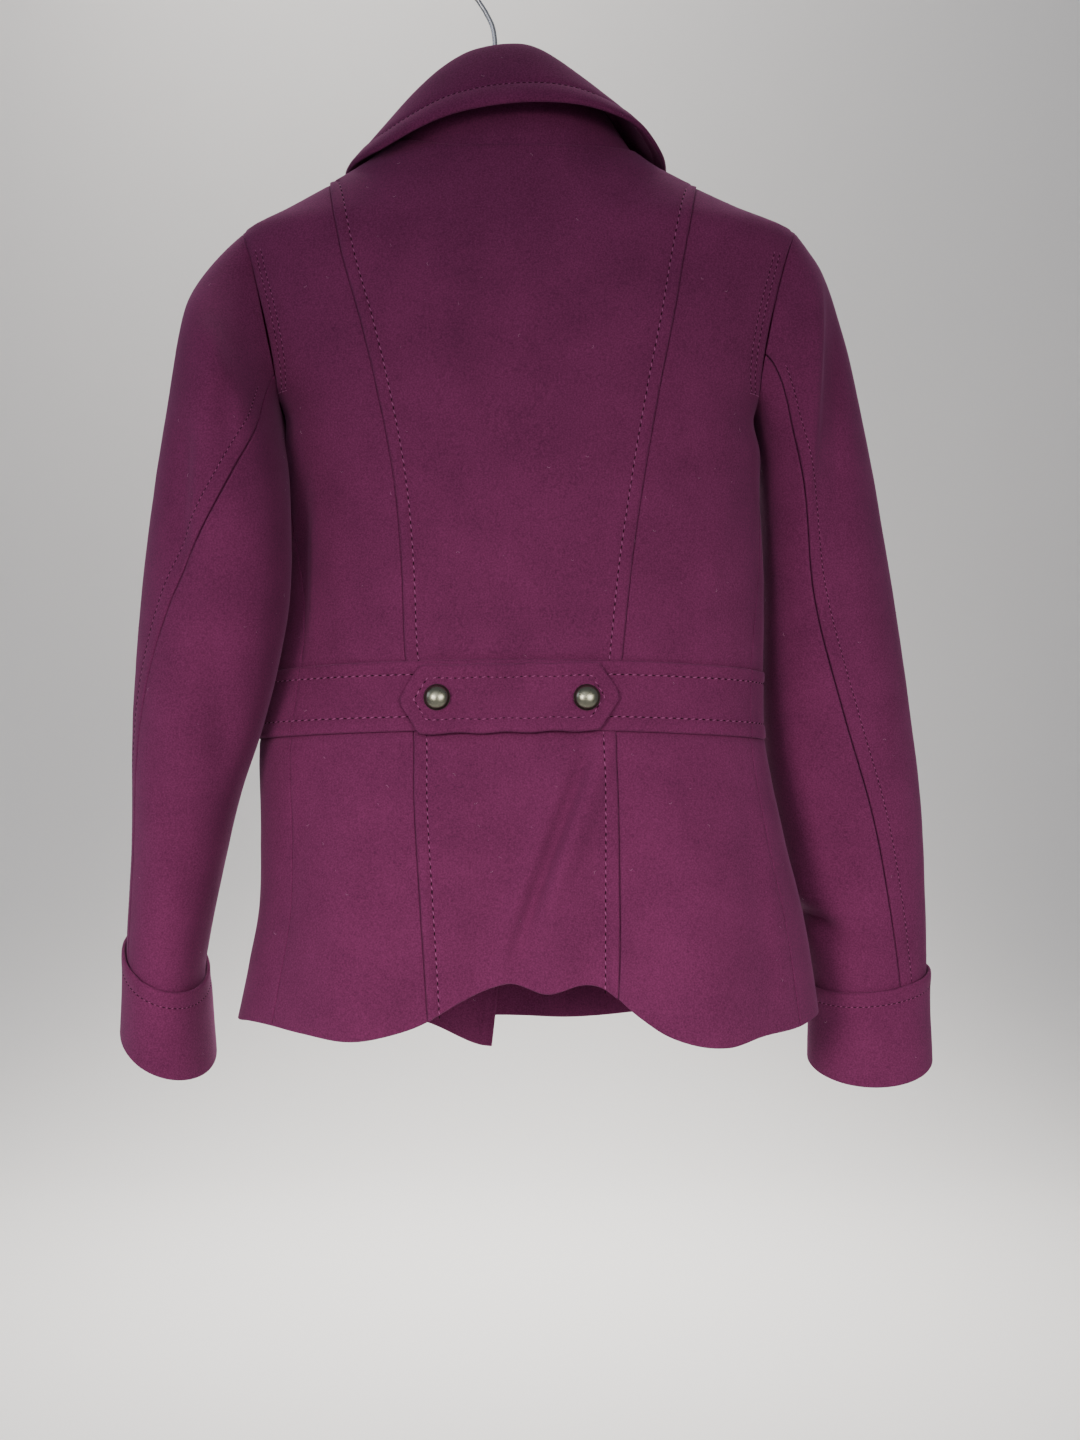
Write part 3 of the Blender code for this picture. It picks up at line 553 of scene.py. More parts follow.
def wander(points: Array, length: float, height: float, seed: float) -> Array:
    """Soft unevenness of hanging cloth.

    Args:
        points: places, in millimetres.
        length: how long its waves are.
        height: how far it goes each way.
        seed: which unevenness it is.

    Returns:
        A distance for each place.
    """
    flat = points.reshape(-1, 3) / length + seed
    found = [noise.noise(Vector(place)) for place in flat]
    return height * as_array(found).reshape(points.shape[:-1])


# How far a crease fades past its ends, how much steeper one flank is, and its share on the front
CREASE_FADE = 0.25
CREASE_LEAN = 0.25
CREASE_ON_FRONT = 0.35


def crease_height(rows: Sequence[Crease], points: Array, normals: Array) -> Array:
    """How far the creases of a piece's back, and softer ones on its front, push it out.

    Args:
        rows: the creases.
        points: places, in millimetres.
        normals: the cloth's normals there.

    Returns:
        A distance for each place.
    """
    x, drop = points[..., 0], -points[..., 2]
    total = np.zeros_like(x)
    for crease in rows:
        start, end = as_array((crease.x, crease.drop)), as_array((crease.end_x, crease.end_drop))
        run = end - start
        length = float(np.hypot(*run))
        way = ((x - start[0]) * run[0] + (drop - start[1]) * run[1]) / length**2
        aside = ((x - start[0]) * run[1] - (drop - start[1]) * run[0]) / length
        fade = smoothstep((way + CREASE_FADE) / (2 * CREASE_FADE))
        fade = fade * smoothstep((1 + CREASE_FADE - way) / (2 * CREASE_FADE))
        lean = np.where(aside > 0, 1 - CREASE_LEAN, 1 + CREASE_LEAN)
        total += crease.height * fade * np.exp(-((aside / (crease.half_width * lean)) ** 2))
    on_back = smoothstep(0.5 - normals[..., 1] / 0.5)
    return total * (CREASE_ON_FRONT + (1 - CREASE_ON_FRONT) * on_back)


# Distances of a mesh's close lines from an edge, and from a row of sewing
PLAIN_EDGE = (0.0, 0.3, 0.8, 1.5, 3.0)
GROOVE_LINES = (-2.0, -0.9, 0.0, 0.9, 2.0)
# A groove's half width, and how soon the fullness beside it rises
GROOVE_HALF_WIDTH = 1.2
SWELL_RUN = 2.5
# A row keeps to the middle of a piece narrower than this many times its distance from the edge
LEAST_WIDTH = 2.2
# The most of a piece's width that the close lines beside one edge take up
EDGE_SHARE = 0.45
# Lengths, shares of the unevenness and seeds of the cloth's soft waves
WAVES = ((70.0, 1.0, 3.7), (21.0, 0.3, 8.1))


def swell(away: Array, stitch: float) -> Array:
    """The fullness of the cloth between its edge and a row of sewing."""
    return smoothstep(away / SWELL_RUN) * smoothstep((stitch - away) / SWELL_RUN)


def dent(away: Array, stitch: float) -> Array:
    """The groove that a row of sewing presses into the cloth."""
    return np.exp(-(((away - stitch) / GROOVE_HALF_WIDTH) ** 2))


@dataclass
class Shell:
    """A thin piece of cloth on a surface, with rounded edges, pressed rows of sewing and soft relief."""

    name: str
    surface: Surface
    wall: float
    centre: tuple[float, float] = (0.0, 0.0)
    lift: Reading | float = 0.0
    creases: Sequence[Crease] = ()
    rows: Sequence[StitchRow] = ()
    pitch: float = 4.0
    closed: bool = False
    extra: Reading | None = None
    tuck: float = 0.0
    tuck_edge: Edge = Edge.TOP
    tuck_reach: float = 6.0
    tuck_fade: float = 3.0
    row_fade: float = 0.01
    groove: float = 0.55
    puff: float = 0.5
    fine_share: float = 0.4
    unevenness: float = 0.7
    rounding: float = 0.46
    samples: tuple[int, int] = (25, 81)

    def __post_init__(self) -> None:
        """Measures the piece and finds which way it faces."""
        u, self._v = (np.linspace(0, 1, count) for count in self.samples)
        points = self.surface(*np.meshgrid(u, self._v))
        self._widths = np.linalg.norm(np.diff(points, axis=1), axis=2).sum(axis=1)
        heights = np.linalg.norm(np.diff(points, axis=0), axis=2).sum(axis=0)
        self.height = float(heights.mean())
        self.flat = (float(self._widths.max()), float(heights.max()))
        sides = np.cross(np.diff(points, axis=1)[:-1], np.diff(points, axis=0)[:, :-1])
        self.area = float(np.linalg.norm(sides, axis=2).sum())
        middle = as_array([0.5]), as_array([0.5])
        way = self.surface(*middle)[0] - as_array((*self.centre, self.surface(*middle)[0][2]))
        self.flip = 1.0
        self.flip = 1.0 if float(self._normals(*middle)[0] @ way) > 0 else -1.0

    def width(self, v: Array) -> Array:
        """How wide the piece is at v."""
        return np.interp(v, self._v, self._widths)

    def _normals(self, u: Array, v: Array, step: float = 2e-3) -> Array:
        """Unit normals, outwards."""
        left, right = u - step, u + step
        if not self.closed:
            left, right = np.maximum(left, 0), np.minimum(right, 1)
        across = self.surface(right, v) - self.surface(left, v)
        down = self.surface(u, np.minimum(v + step, 1)) - self.surface(u, np.maximum(v - step, 0))
        return self.flip * unit(np.cross(across, down))

    def _edge_distance(self, edge: Edge, u: Array, v: Array) -> Array:
        """How far places are from one edge."""
        if edge in (Edge.LOW, Edge.HIGH):
            return (u if edge is Edge.LOW else 1 - u) * self.width(v)
        return (v if edge is Edge.TOP else 1 - v) * self.height

    def _pressed(self, u: Array, v: Array) -> Array:
        """The grooves of the sewing, and the fullness between them and the edge."""
        total = np.zeros(np.broadcast(u, v).shape)
        for row in self.rows:
            along = v if row.edge in (Edge.LOW, Edge.HIGH) else u
            inside = smoothstep((along - row.start) / self.row_fade + 1)
            inside = inside * smoothstep((row.end - along) / self.row_fade + 1)
            away = self._edge_distance(row.edge, u, v)
            scale = 1.0 if row.thread is Thread.BOLD else self.fine_share
            relief = self.puff * swell(away, row.distance) - self.groove * dent(away, row.distance)
            total += inside * scale * relief
        return total

    def outer(self, u: Array, v: Array) -> tuple[Array, Array, Array]:
        """Points of the plain surface, normals, and how far the cloth's outer face is above it."""
        points, normals = self.surface(u, v), self._normals(u, v)
        rise = self.lift(points) if callable(self.lift) else np.full(points.shape[:-1], float(self.lift))
        rise = rise + self._pressed(u, v) + crease_height(self.creases, points, normals)
        for length, share, seed in WAVES:
            rise = rise + wander(points, length, share * self.unevenness, seed)
        if self.extra is not None:
            rise = rise + self.extra(points)
        if self.tuck:
            away = self._edge_distance(self.tuck_edge, u, v)
            near = smoothstep((self.tuck_reach - away) / self.tuck_fade)
            rise = rise - self.tuck * near * smoothstep(np.abs(normals[..., 1]) / 0.5)
        return points, normals, rise

    def trace(self, row: StitchRow, step: float = 2.0) -> StitchPath:
        """The path of a row of sewing on the cloth's outer face.

        Args:
            row: the row.
            step: about how far apart the path's points are.

        Returns:
            The path, in the coat's frame.
        """
        along_v = row.edge in (Edge.LOW, Edge.HIGH)
        length = self.height if along_v else float(self._widths.mean())
        way = np.linspace(row.start, row.end, max(8, round(length * (row.end - row.start) / step)))
        if along_v:
            share = row.distance / np.maximum(self.width(way), LEAST_WIDTH * row.distance)
            u, v = (share if row.edge is Edge.LOW else 1 - share), way
        else:
            share = np.full_like(way, row.distance / self.height)
            u, v = way, (share if row.edge is Edge.TOP else 1 - share)
        return self.path(u, v, row.thread)

    def path(self, u: Array, v: Array, thread: Thread) -> StitchPath:
        """A row of sewing over places on the cloth's outer face."""
        points, normals, rise = self.outer(u, v)
        return StitchPath(points + normals * rise[..., None], normals, thread)

    def _edge_lines(self, edge: Edge) -> Array:
        """Distances of the grid's lines near one edge."""
        grooves = [row.distance + away for row in self.rows if row.edge is edge for away in GROOVE_LINES]
        return as_array(sorted([*PLAIN_EDGE, *grooves]))

    def _spread(self, low: Edge, high: Edge, lengths: Array) -> Array:
        """Grid places, from 0 to 1, for stretches of these lengths."""
        first, last = self._edge_lines(low), self._edge_lines(high)
        count = max(2, round((float(lengths.max()) - first[-1] - last[-1]) / self.pitch))
        places = []
        for length in lengths:
            squeeze = min(1.0, EDGE_SHARE * length / max(first[-1], last[-1]))
            head, tail = first * squeeze, length - last[::-1] * squeeze
            inner = np.linspace(head[-1], tail[0], count + 1)[1:-1]
            places.append(np.concatenate([head, inner, tail]) / length)
        return as_array(places)

    def build(self) -> Piece:
        """Makes the piece's mesh, linked to the scene, with no material."""
        v_line = self._spread(Edge.TOP, Edge.BOTTOM, as_array([self.height]))[0]
        if self.closed:
            count = round(self.flat[0] / self.pitch)
            u = np.broadcast_to(np.arange(count) / count, (len(v_line), count))
        else:
            u = self._spread(Edge.LOW, Edge.HIGH, self.width(v_line))
        v = np.broadcast_to(v_line[:, None], u.shape)
        points, normals, rise = self.outer(u, v)
        edges = [Edge.TOP, Edge.BOTTOM] if self.closed else list(Edge)
        away = np.min([self._edge_distance(edge, u, v) for edge in edges], axis=0)
        radius = self.rounding * self.wall
        inset = np.clip(radius - away, 0, radius)
        turned = radius - np.sqrt(radius**2 - inset**2)
        outer = points + normals * (rise - turned)[..., None]
        inner = points + normals * (rise - self.wall + turned)[..., None]
        return self._mesh(outer, inner)

    def _mesh(self, outer: Array, inner: Array) -> Piece:
        """A closed mesh from its outer and inner grids."""
        rows, columns = outer.shape[:2]
        index = np.arange(rows * columns).reshape(rows, columns)
        if self.closed:
            index = np.concatenate([index, index[:, :1]], axis=1)
        corners = [index[:-1, :-1], index[:-1, 1:], index[1:, 1:], index[1:, :-1]]
        face = np.stack(corners, axis=-1).reshape(-1, 4)
        count = rows * columns
        faces = [face, face[:, ::-1] + count]
        borders = [(index[0], False), (index[-1], True)]
        if not self.closed:
            borders += [(index[:, 0], True), (index[:, -1], False)]
        for line, reverse in borders:
            rim = np.stack([line[1:], line[:-1], line[:-1] + count, line[1:] + count], axis=-1)
            faces.append(rim[:, ::-1] if reverse else rim)
        quads = np.concatenate(faces)
        points = np.concatenate([outer.reshape(-1, 3), inner.reshape(-1, 3)])
        return make_object(self.name, points, (quads if self.flip > 0 else quads[:, ::-1]).tolist())


def link(name: str, data: bpy.types.ID) -> Piece:
    """A new object of some data in the scene."""
    item = bpy.data.objects.new(name, data)
    bpy.context.scene.collection.objects.link(item)
    return item


def make_object(name: str, corners: Array, faces: list[Sequence[int]]) -> Piece:
    """Links a smooth mesh to the scene, moved from the coat's millimetres to the row frame.

    Args:
        name: the piece's name.
        corners: points in millimetres, in the coat's frame.
        faces: corner numbers of each face.

    Returns:
        The new object.
    """
    mesh = bpy.data.meshes.new(name)
    mesh.from_pydata(((corners + (COAT_SHIFT, 0, 0)) * MM).tolist(), [], faces)
    mesh.shade_smooth()
    return link(name, mesh)


def settled_mesh(item: Piece) -> Mesh:
    """An object's mesh after its curves or nodes have been worked out."""
    bpy.context.view_layer.update()
    return bpy.data.meshes.new_from_object(item.evaluated_get(bpy.context.evaluated_depsgraph_get()))


# Finishes


def linear(code: str) -> tuple[float, float, float, float]:
    """An sRGB hex colour as linear values."""
    parts = [int(code[i : i + 2], 16) / 255 for i in (1, 3, 5)]
    red, green, blue = [p / 12.92 if p <= 0.04045 else ((p + 0.055) / 1.055) ** 2.4 for p in parts]
    return red, green, blue, 1.0


def feed(node: Node, inputs: dict) -> None:
    """Gives a node's inputs, by socket name or number, their values or links."""
    for key, value in inputs.items():
        if isinstance(value, Socket):
            node.id_data.links.new(value, node.inputs[key])
        else:
            node.inputs[key].default_value = value


def add(tree: Tree, kind: str, inputs: dict | None = None, out: str | int = 0,
        **settings: object) -> Socket:
    """Adds a node with its settings, and its inputs as values or links.

    Args:
        tree: the node tree.
        kind: the node's type.
        inputs: by socket name or number, a value or another node's output.
        out: the output that is wanted, by name or number.
        settings: the node's own properties.

    Returns:
        The wanted output.
    """
    node = tree.nodes.new(kind)
    for name, value in settings.items():
        setattr(node, name, value)
    feed(node, inputs or {})
    return node.outputs[out]


def grain(tree: Tree, size_mm: float, detail: float = 2.0, stretch: tuple | None = None) -> Socket:
    """Noise on a piece's own place, with a grain of a real size.

    Args:
        tree: the material's tree.
        size_mm: the grain's size.
        detail: how much finer grain it carries.
        stretch: scales along the axes, if they differ.

    Returns:
        The noise, 0 to 1.
    """
    place = add(tree, "ShaderNodeTexCoord", out="Object")
    if stretch:
        place = add(tree, "ShaderNodeMapping", {"Vector": place, "Scale": stretch})
    inputs = {"Vector": place, "Scale": 1 / (size_mm * MM), "Detail": detail}
    return add(tree, "ShaderNodeTexNoise", inputs, "Fac")


def tones(tree: Tree, fac: Socket, ends: tuple, places: tuple = (0.0, 1.0)) -> Socket:
    """A colour between two linear colours that start and end at two places."""
    ramp = add(tree, "ShaderNodeValToRGB", {"Fac": fac}, "Color")
    for stop, place, tone in zip(ramp.node.color_ramp.elements, places, ends):
        stop.position, stop.color = place, tone
    return ramp


def bump(tree: Tree, height: Socket, depth_mm: float, strength: float) -> Socket:
    """A fine relief of a real depth."""
    inputs = {"Height": height, "Distance": depth_mm * MM, "Strength": strength}
    return add(tree, "ShaderNodeBump", inputs, "Normal")


def scaled(tree: Tree, value: Socket, low: float, high: float) -> Socket:
    """A value from 0 to 1 brought between two others."""
    return add(tree, "ShaderNodeMapRange", {"Value": value, "To Min": low, "To Max": high}, "Result")


def weighed(tree: Tree, value: Socket, share: float,
            more: Socket) -> Socket:
    """A share of one value and the whole of another."""
    return add(tree, "ShaderNodeMath", {0: value, 1: share, 2: more}, operation="MULTIPLY_ADD")


def new_material(name: str) -> tuple[Material, Tree, Node]:
    """A material, its node tree and its Principled shader."""
    material = bpy.data.materials.new(name)
    material.use_nodes = True
    return material, material.node_tree, material.node_tree.nodes["Principled BSDF"]


@dataclass(frozen=True)
class WoolMelton:
    """Milled plum wool: felted, with no weave showing, and a matt heathered nap, paler at grazing angles."""

    dark: str = "#4B1738"
    light: str = "#6C2851"
    haze: str = "#B878A6"
    fibre_mm: float = 1.1
    patch_mm: float = 40.0
    nap_mm: float = 0.9
    nap_height_mm: float = 0.28
    sheen: float = 0.3

    def build(self) -> Material:
        """Makes the material."""
        material, tree, shader = new_material("milled_plum_wool")
        fibre = grain(tree, self.fibre_mm, 3.0)
        patch = add(tree, "ShaderNodeMath", {0: grain(tree, self.patch_mm), 1: 0.25}, operation="MULTIPLY")
        heather = weighed(tree, fibre, 0.75, patch)
        colour = tones(tree, heather, (linear(self.dark), linear(self.light)), (0.3, 0.7))
        nap = bump(tree, grain(tree, self.nap_mm, 4.0), self.nap_height_mm, 0.7)
        feed(shader, {"Base Color": colour, "Normal": nap, "Roughness": 0.94, "Specular IOR Level": 0.2})
        feed(shader, {"Sheen Weight": self.sheen, "Sheen Roughness": 0.45, "Sheen Tint": linear(self.haze)})
        return material


@dataclass(frozen=True)
class SewingThread:
    """Twisted polyester thread: smooth plies that catch more light than the wool round them. Also the pale
    lint, and the dark painted shade that stands in the needle holes between stitches.
    """

    name: str
    colour: str
    ply_mm: float = 0.5
    shade: float = 0.55

    def build(self) -> Material:
        """Makes the material."""
        material, tree, shader = new_material(self.name)
        tone = linear(self.colour)
        dark = tuple(self.shade * part for part in tone[:3]) + (1.0,)
        colour = tones(tree, grain(tree, self.ply_mm, 1.0), (dark, tone))
        feed(shader, {"Base Color": colour, "Roughness": 0.7, "Specular IOR Level": 0.12})
        return material


@dataclass(frozen=True)
class AntiquePewter:
    """Cast pewter, tumbled bright on the dome and left dark in the rim."""

    bright: str = "#8C8C79"
    dark: str = "#2A2723"
    grain_mm: float = 1.6
    pit_mm: float = 0.05

    def build(self) -> Material:
        """Makes the material."""
        material, tree, shader = new_material("antique_pewter")
        wear = grain(tree, self.grain_mm, 4.0)
        rim = add(tree, "ShaderNodeAttribute", out="Fac", attribute_name="patina")
        spread = weighed(tree, wear, 0.35, rim)
        colour = tones(tree, spread, (linear(self.bright), linear(self.dark)), (0.2, 0.95))
        feed(shader, {"Base Color": colour, "Roughness": scaled(tree, spread, 0.24, 0.5), "Metallic": 1.0})
        feed(shader, {"Normal": bump(tree, wear, self.pit_mm, 0.5)})
        return material


@dataclass(frozen=True)
class DrawnSteel:
    """Bright drawn steel wire with faint lengthwise die lines."""

    colour: str = "#C4C5C6"
    line_mm: float = 0.5

    def build(self) -> Material:
        """Makes the material."""
        material, tree, shader = new_material("drawn_steel")
        lines = grain(tree, self.line_mm, stretch=(1.0, 1.0, 0.05))
        feed(shader, {"Base Color": linear(self.colour), "Metallic": 1.0})
        feed(shader, {"Roughness": scaled(tree, lines, 0.16, 0.34)})
        return material


@dataclass(frozen=True)
class SandedBeech:
    """Steamed beech, turned and sanded: fine grain along the bar with short dark flecks."""

    dark: str = "#9C7347"
    light: str = "#C39A6B"
    grain_mm: float = 2.2
    pore_mm: float = 0.1

    def build(self) -> Material:
        """Makes the material."""
        material, tree, shader = new_material("sanded_beech")
        flecks = grain(tree, self.grain_mm, 5.0, (0.06, 1.0, 1.0))
        colour = tones(tree, flecks, (linear(self.dark), linear(self.light)))
        pores = bump(tree, flecks, self.pore_mm, 0.4)
        feed(shader, {"Base Color": colour, "Normal": pores, "Roughness": 0.5})
        return material


@dataclass
class Finishes:
    """The coat's materials, each made once."""

    wool: Material = field(default_factory=WoolMelton().build)
    thread: Material = field(default_factory=SewingThread("rose_thread", "#A05684").build)
    # painted shade: a near-black plum finish for the beads laid in the needle holes, where there is only
    # shadow
    shade: Material = field(default_factory=SewingThread("dark_thread", "#1E0613").build)
    lint: Material = field(default_factory=SewingThread("pale_lint", "#B58FA8").build)
    pewter: Material = field(default_factory=AntiquePewter().build)
    steel: Material = field(default_factory=DrawnSteel().build)
    beech: Material = field(default_factory=SandedBeech().build)


def dress(item: Piece, node: str | None, material: Material) -> Piece:
    """Gives a piece its material and body, and hides the CAD node that it stands for.

    Args:
        item: the piece.
        node: the CAD node that it replaces, if any.
        material: the finish.

    Returns:
        The piece.
    """
    item.data.materials.clear()
    item.data.materials.append(material)
    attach(item, BODY)
    if node:
        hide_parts(node)
    LOG.info("%s: %d faces", item.name, len(item.data.polygons))
    return item


@dataclass
class Workroom:
    """Sews pieces: builds their shells, dresses them and keeps the rows of sewing that they carry."""

    finishes: Finishes
    paths: dict[str, list[StitchPath]] = field(default_factory=dict)
    pieces: list[Piece] = field(default_factory=list)
    cut: float = 0.0

    def sew(self, shell: Shell, hangs_from: str, group: str) -> None:
        """Makes one cloth piece.

        Args:
            shell: the piece.
            hangs_from: what it is sewn to or hangs on; not used.
            group: the group of stitches that its rows go to.
        """
        item = dress(shell.build(), shell.name.removeprefix("cloth_"), self.finishes.wool)
        width, length = (side * MM for side in shell.flat)
        area = min(shell.area * MM * MM, width * length)
        self.cut += area
        self.paths.setdefault(group, []).extend(shell.trace(row) for row in shell.rows)
        self.pieces.append(item)


# Parts of the coat


@dataclass
class CoatBody:
    """Back, side backs, fronts, waistband and skirt."""

    form: BodyForm
    wall: float = 2.4
    lap: float = 1.3
    band_lift: float = 1.0
    band_top: float = 525.0
    band_bottom: float = 574.5
    skirt_end: float = 790.0
    overlap_lift: float = 4.2
    overlap_fade: tuple[float, float] = (40.0, -6.0)
    allowance: float = 3.0
    tuck: float = 2.2
    lap_stitch: float = 9.0
    band_stitch: float = 10.0
    armhole_stitches: tuple[float, float] = (8.0, 13.0)
    tack: tuple[float, float] = (2.0, 15.0)
    tack_at: float = 0.445
    tack_steps: int = 8
    side_tops: dict[Side, float] = field(default_factory=lambda: {Side.LEFT: 173.4, Side.RIGHT: 176.4})

    def _shell(self, name: str, panel: Panel, lift: Reading | float, rows: Sequence[StitchRow] = ()) -> Shell:
        """A shell on a panel of the body; the edge beside the waistband goes behind it."""
        tuck = 0.0 if name.startswith("waistband") else self.tuck
        edge = Edge.TOP if name.startswith("skirt") else Edge.BOTTOM
        shape = {"lift": lift, "creases": BODY_CREASES, "rows": rows, "tuck": tuck, "tuck_edge": edge}
        return Shell(f"cloth_{name}", panel, self.wall, **shape)

    def overlap(self, x: Array) -> Array:
        """How far the right front stands out where it lies over the left."""
        start, end = self.overlap_fade
        return self.overlap_lift * smoothstep((start - x) / (start - end))

    def _front_lift(self, side: Side, base: float) -> Reading | float:
        """How far a front stands out."""
        return base if side is Side.LEFT else lambda points: base + self.overlap(points[..., 0])

    def _centre_seams(self) -> tuple[Reading, Reading]:
        """The shares of the two edges of the middle of the back."""
        form = self.form

        def edge(side: Side) -> Reading:
            """One edge's share at each drop."""
            return lambda drop: side.value * (np.minimum(0.5, form.princess[side](drop)) - form.gap(drop))

        return edge(Side.LEFT), edge(Side.RIGHT)

    def _side_seams(self, side: Side) -> tuple[Reading, Reading]:
        """The shares of a side back's two edges."""
        form = self.form
        return (
            lambda drop: side.value * (form.princess[side](drop) + form.gap(drop)),
            lambda drop: side.value * (form.back_limit(side, drop) - form.gap(drop)),
        )

    def _front_seams(self, side: Side) -> tuple[Reading, Reading]:
        """The shares of a front's outer limit and opening edge."""
        form = self.form
        opening = form.opening("under" if side is Side.LEFT else "over")
        turn = 2 if side is Side.LEFT else 0
        return (
            lambda drop: side.value * (form.front_limit(side, drop) + form.gap(drop)),
            lambda drop: opening(drop) - turn,
        )

    def _level(self, drop: float, more: float = 0.0) -> Surface:
        """An edge that runs along the waistband, or so far below one of its edges."""
        return lambda share, _: self.form.band_drop(drop, share) + more

    def sew_upper(self, room: Workroom) -> None:
        """The panels between neck and waistband."""
        form = self.form
        rows = [StitchRow(edge, self.lap_stitch, 0.09, 1.0) for edge in (Edge.LOW, Edge.HIGH)]
        fine = [StitchRow(Edge.HIGH, away, 0.16, 0.44, Thread.FINE) for away in self.armhole_stitches]
        closing = [StitchRow(Edge.HIGH, self.lap_stitch, 0.05, 1.0)]
        band = self._level(self.band_top, self.allowance)

        def neck(share: Array, _: Array) -> Array:
            """The neck edge."""
            return form.neck_drop(share)

        centre = Panel(form, self._centre_seams(), neck, band, form.neck, self.band_top)
        room.sew(self._shell("back_centre", centre, self.lap, rows), "hanger_bar", "body")
        for side in Side:
            first = self.side_tops[side]

            def top(share: Array, _: Array, first: float = first) -> Array:
                """A side back's level top."""
                return np.full_like(share, first)

            panel = Panel(form, self._side_seams(side), top, band, first, self.band_top)
            side_back = self._shell(f"back_side_{side.word}", panel, 0.0, fine)
            room.sew(side_back, "cloth_back_centre", "armholes")
            away = np.linspace(*self.tack, self.tack_steps)
            at = np.full_like(away, self.tack_at)
            room.paths["armholes"].append(side_back.path(1 - away / side_back.width(at), at, Thread.TACK))
            front = Panel(form, self._front_seams(side), neck, band, form.neck, self.band_top)
            shell = self._shell(f"front_{side.word}", front, self._front_lift(side, 0.0), closing)
            room.sew(shell, "hanger_bar", "fronts")

    def sew_waistband(self, room: Workroom) -> None:
        """The waistband, with its two rows of sewing."""
        rows = [StitchRow(edge, self.band_stitch) for edge in (Edge.TOP, Edge.BOTTOM)]
        ends = self._side_seams(Side.LEFT)[1], self._side_seams(Side.RIGHT)[1]
        levels = self._level(self.band_top), self._level(self.band_bottom), self.band_top, self.band_bottom
        back = Panel(self.form, ends, *levels)
        room.sew(self._shell("waistband_back", back, self.band_lift, rows), "cloth_back_centre", "waistband")
        for side in Side:
            front = Panel(self.form, self._front_seams(side), *levels)
            lift = self._front_lift(side, self.band_lift)
            shell = self._shell(f"waistband_front_{side.word}", front, lift, rows)
            room.sew(shell, f"cloth_front_{side.word}", "waistband")

    def sew_skirt(self, room: Workroom) -> None:
        """The panels below the waistband."""
        form = self.form
        band = self._level(self.band_bottom, -self.allowance)
        ends = self.band_bottom, self.skirt_end
        rows = [StitchRow(edge, self.lap_stitch, 0.02, 0.99) for edge in (Edge.LOW, Edge.HIGH)]
        closing = [StitchRow(Edge.HIGH, self.lap_stitch, 0.02, 0.985)]
        centre = Panel(form, self._centre_seams(), band, form.back_hem, *ends)
        room.sew(self._shell("skirt_back_centre", centre, self.lap, rows), "cloth_waistband_back", "body")
        for side in Side:
            panel = Panel(form, self._side_seams(side), band, form.back_hem, *ends)
            room.sew(self._shell(f"skirt_back_side_{side.word}", panel, 0.0), "cloth_waistband_back", "body")

            def hem(share: Array, drop: Array, side: Side = side) -> Array:
                """One front's hem."""
                return form.front_hem(side, share, drop)

            front = Panel(form, self._front_seams(side), band, hem, *ends)
            shell = self._shell(f"skirt_front_{side.word}", front, self._front_lift(side, 0.0), closing)
            room.sew(shell, f"cloth_waistband_front_{side.word}", "fronts")


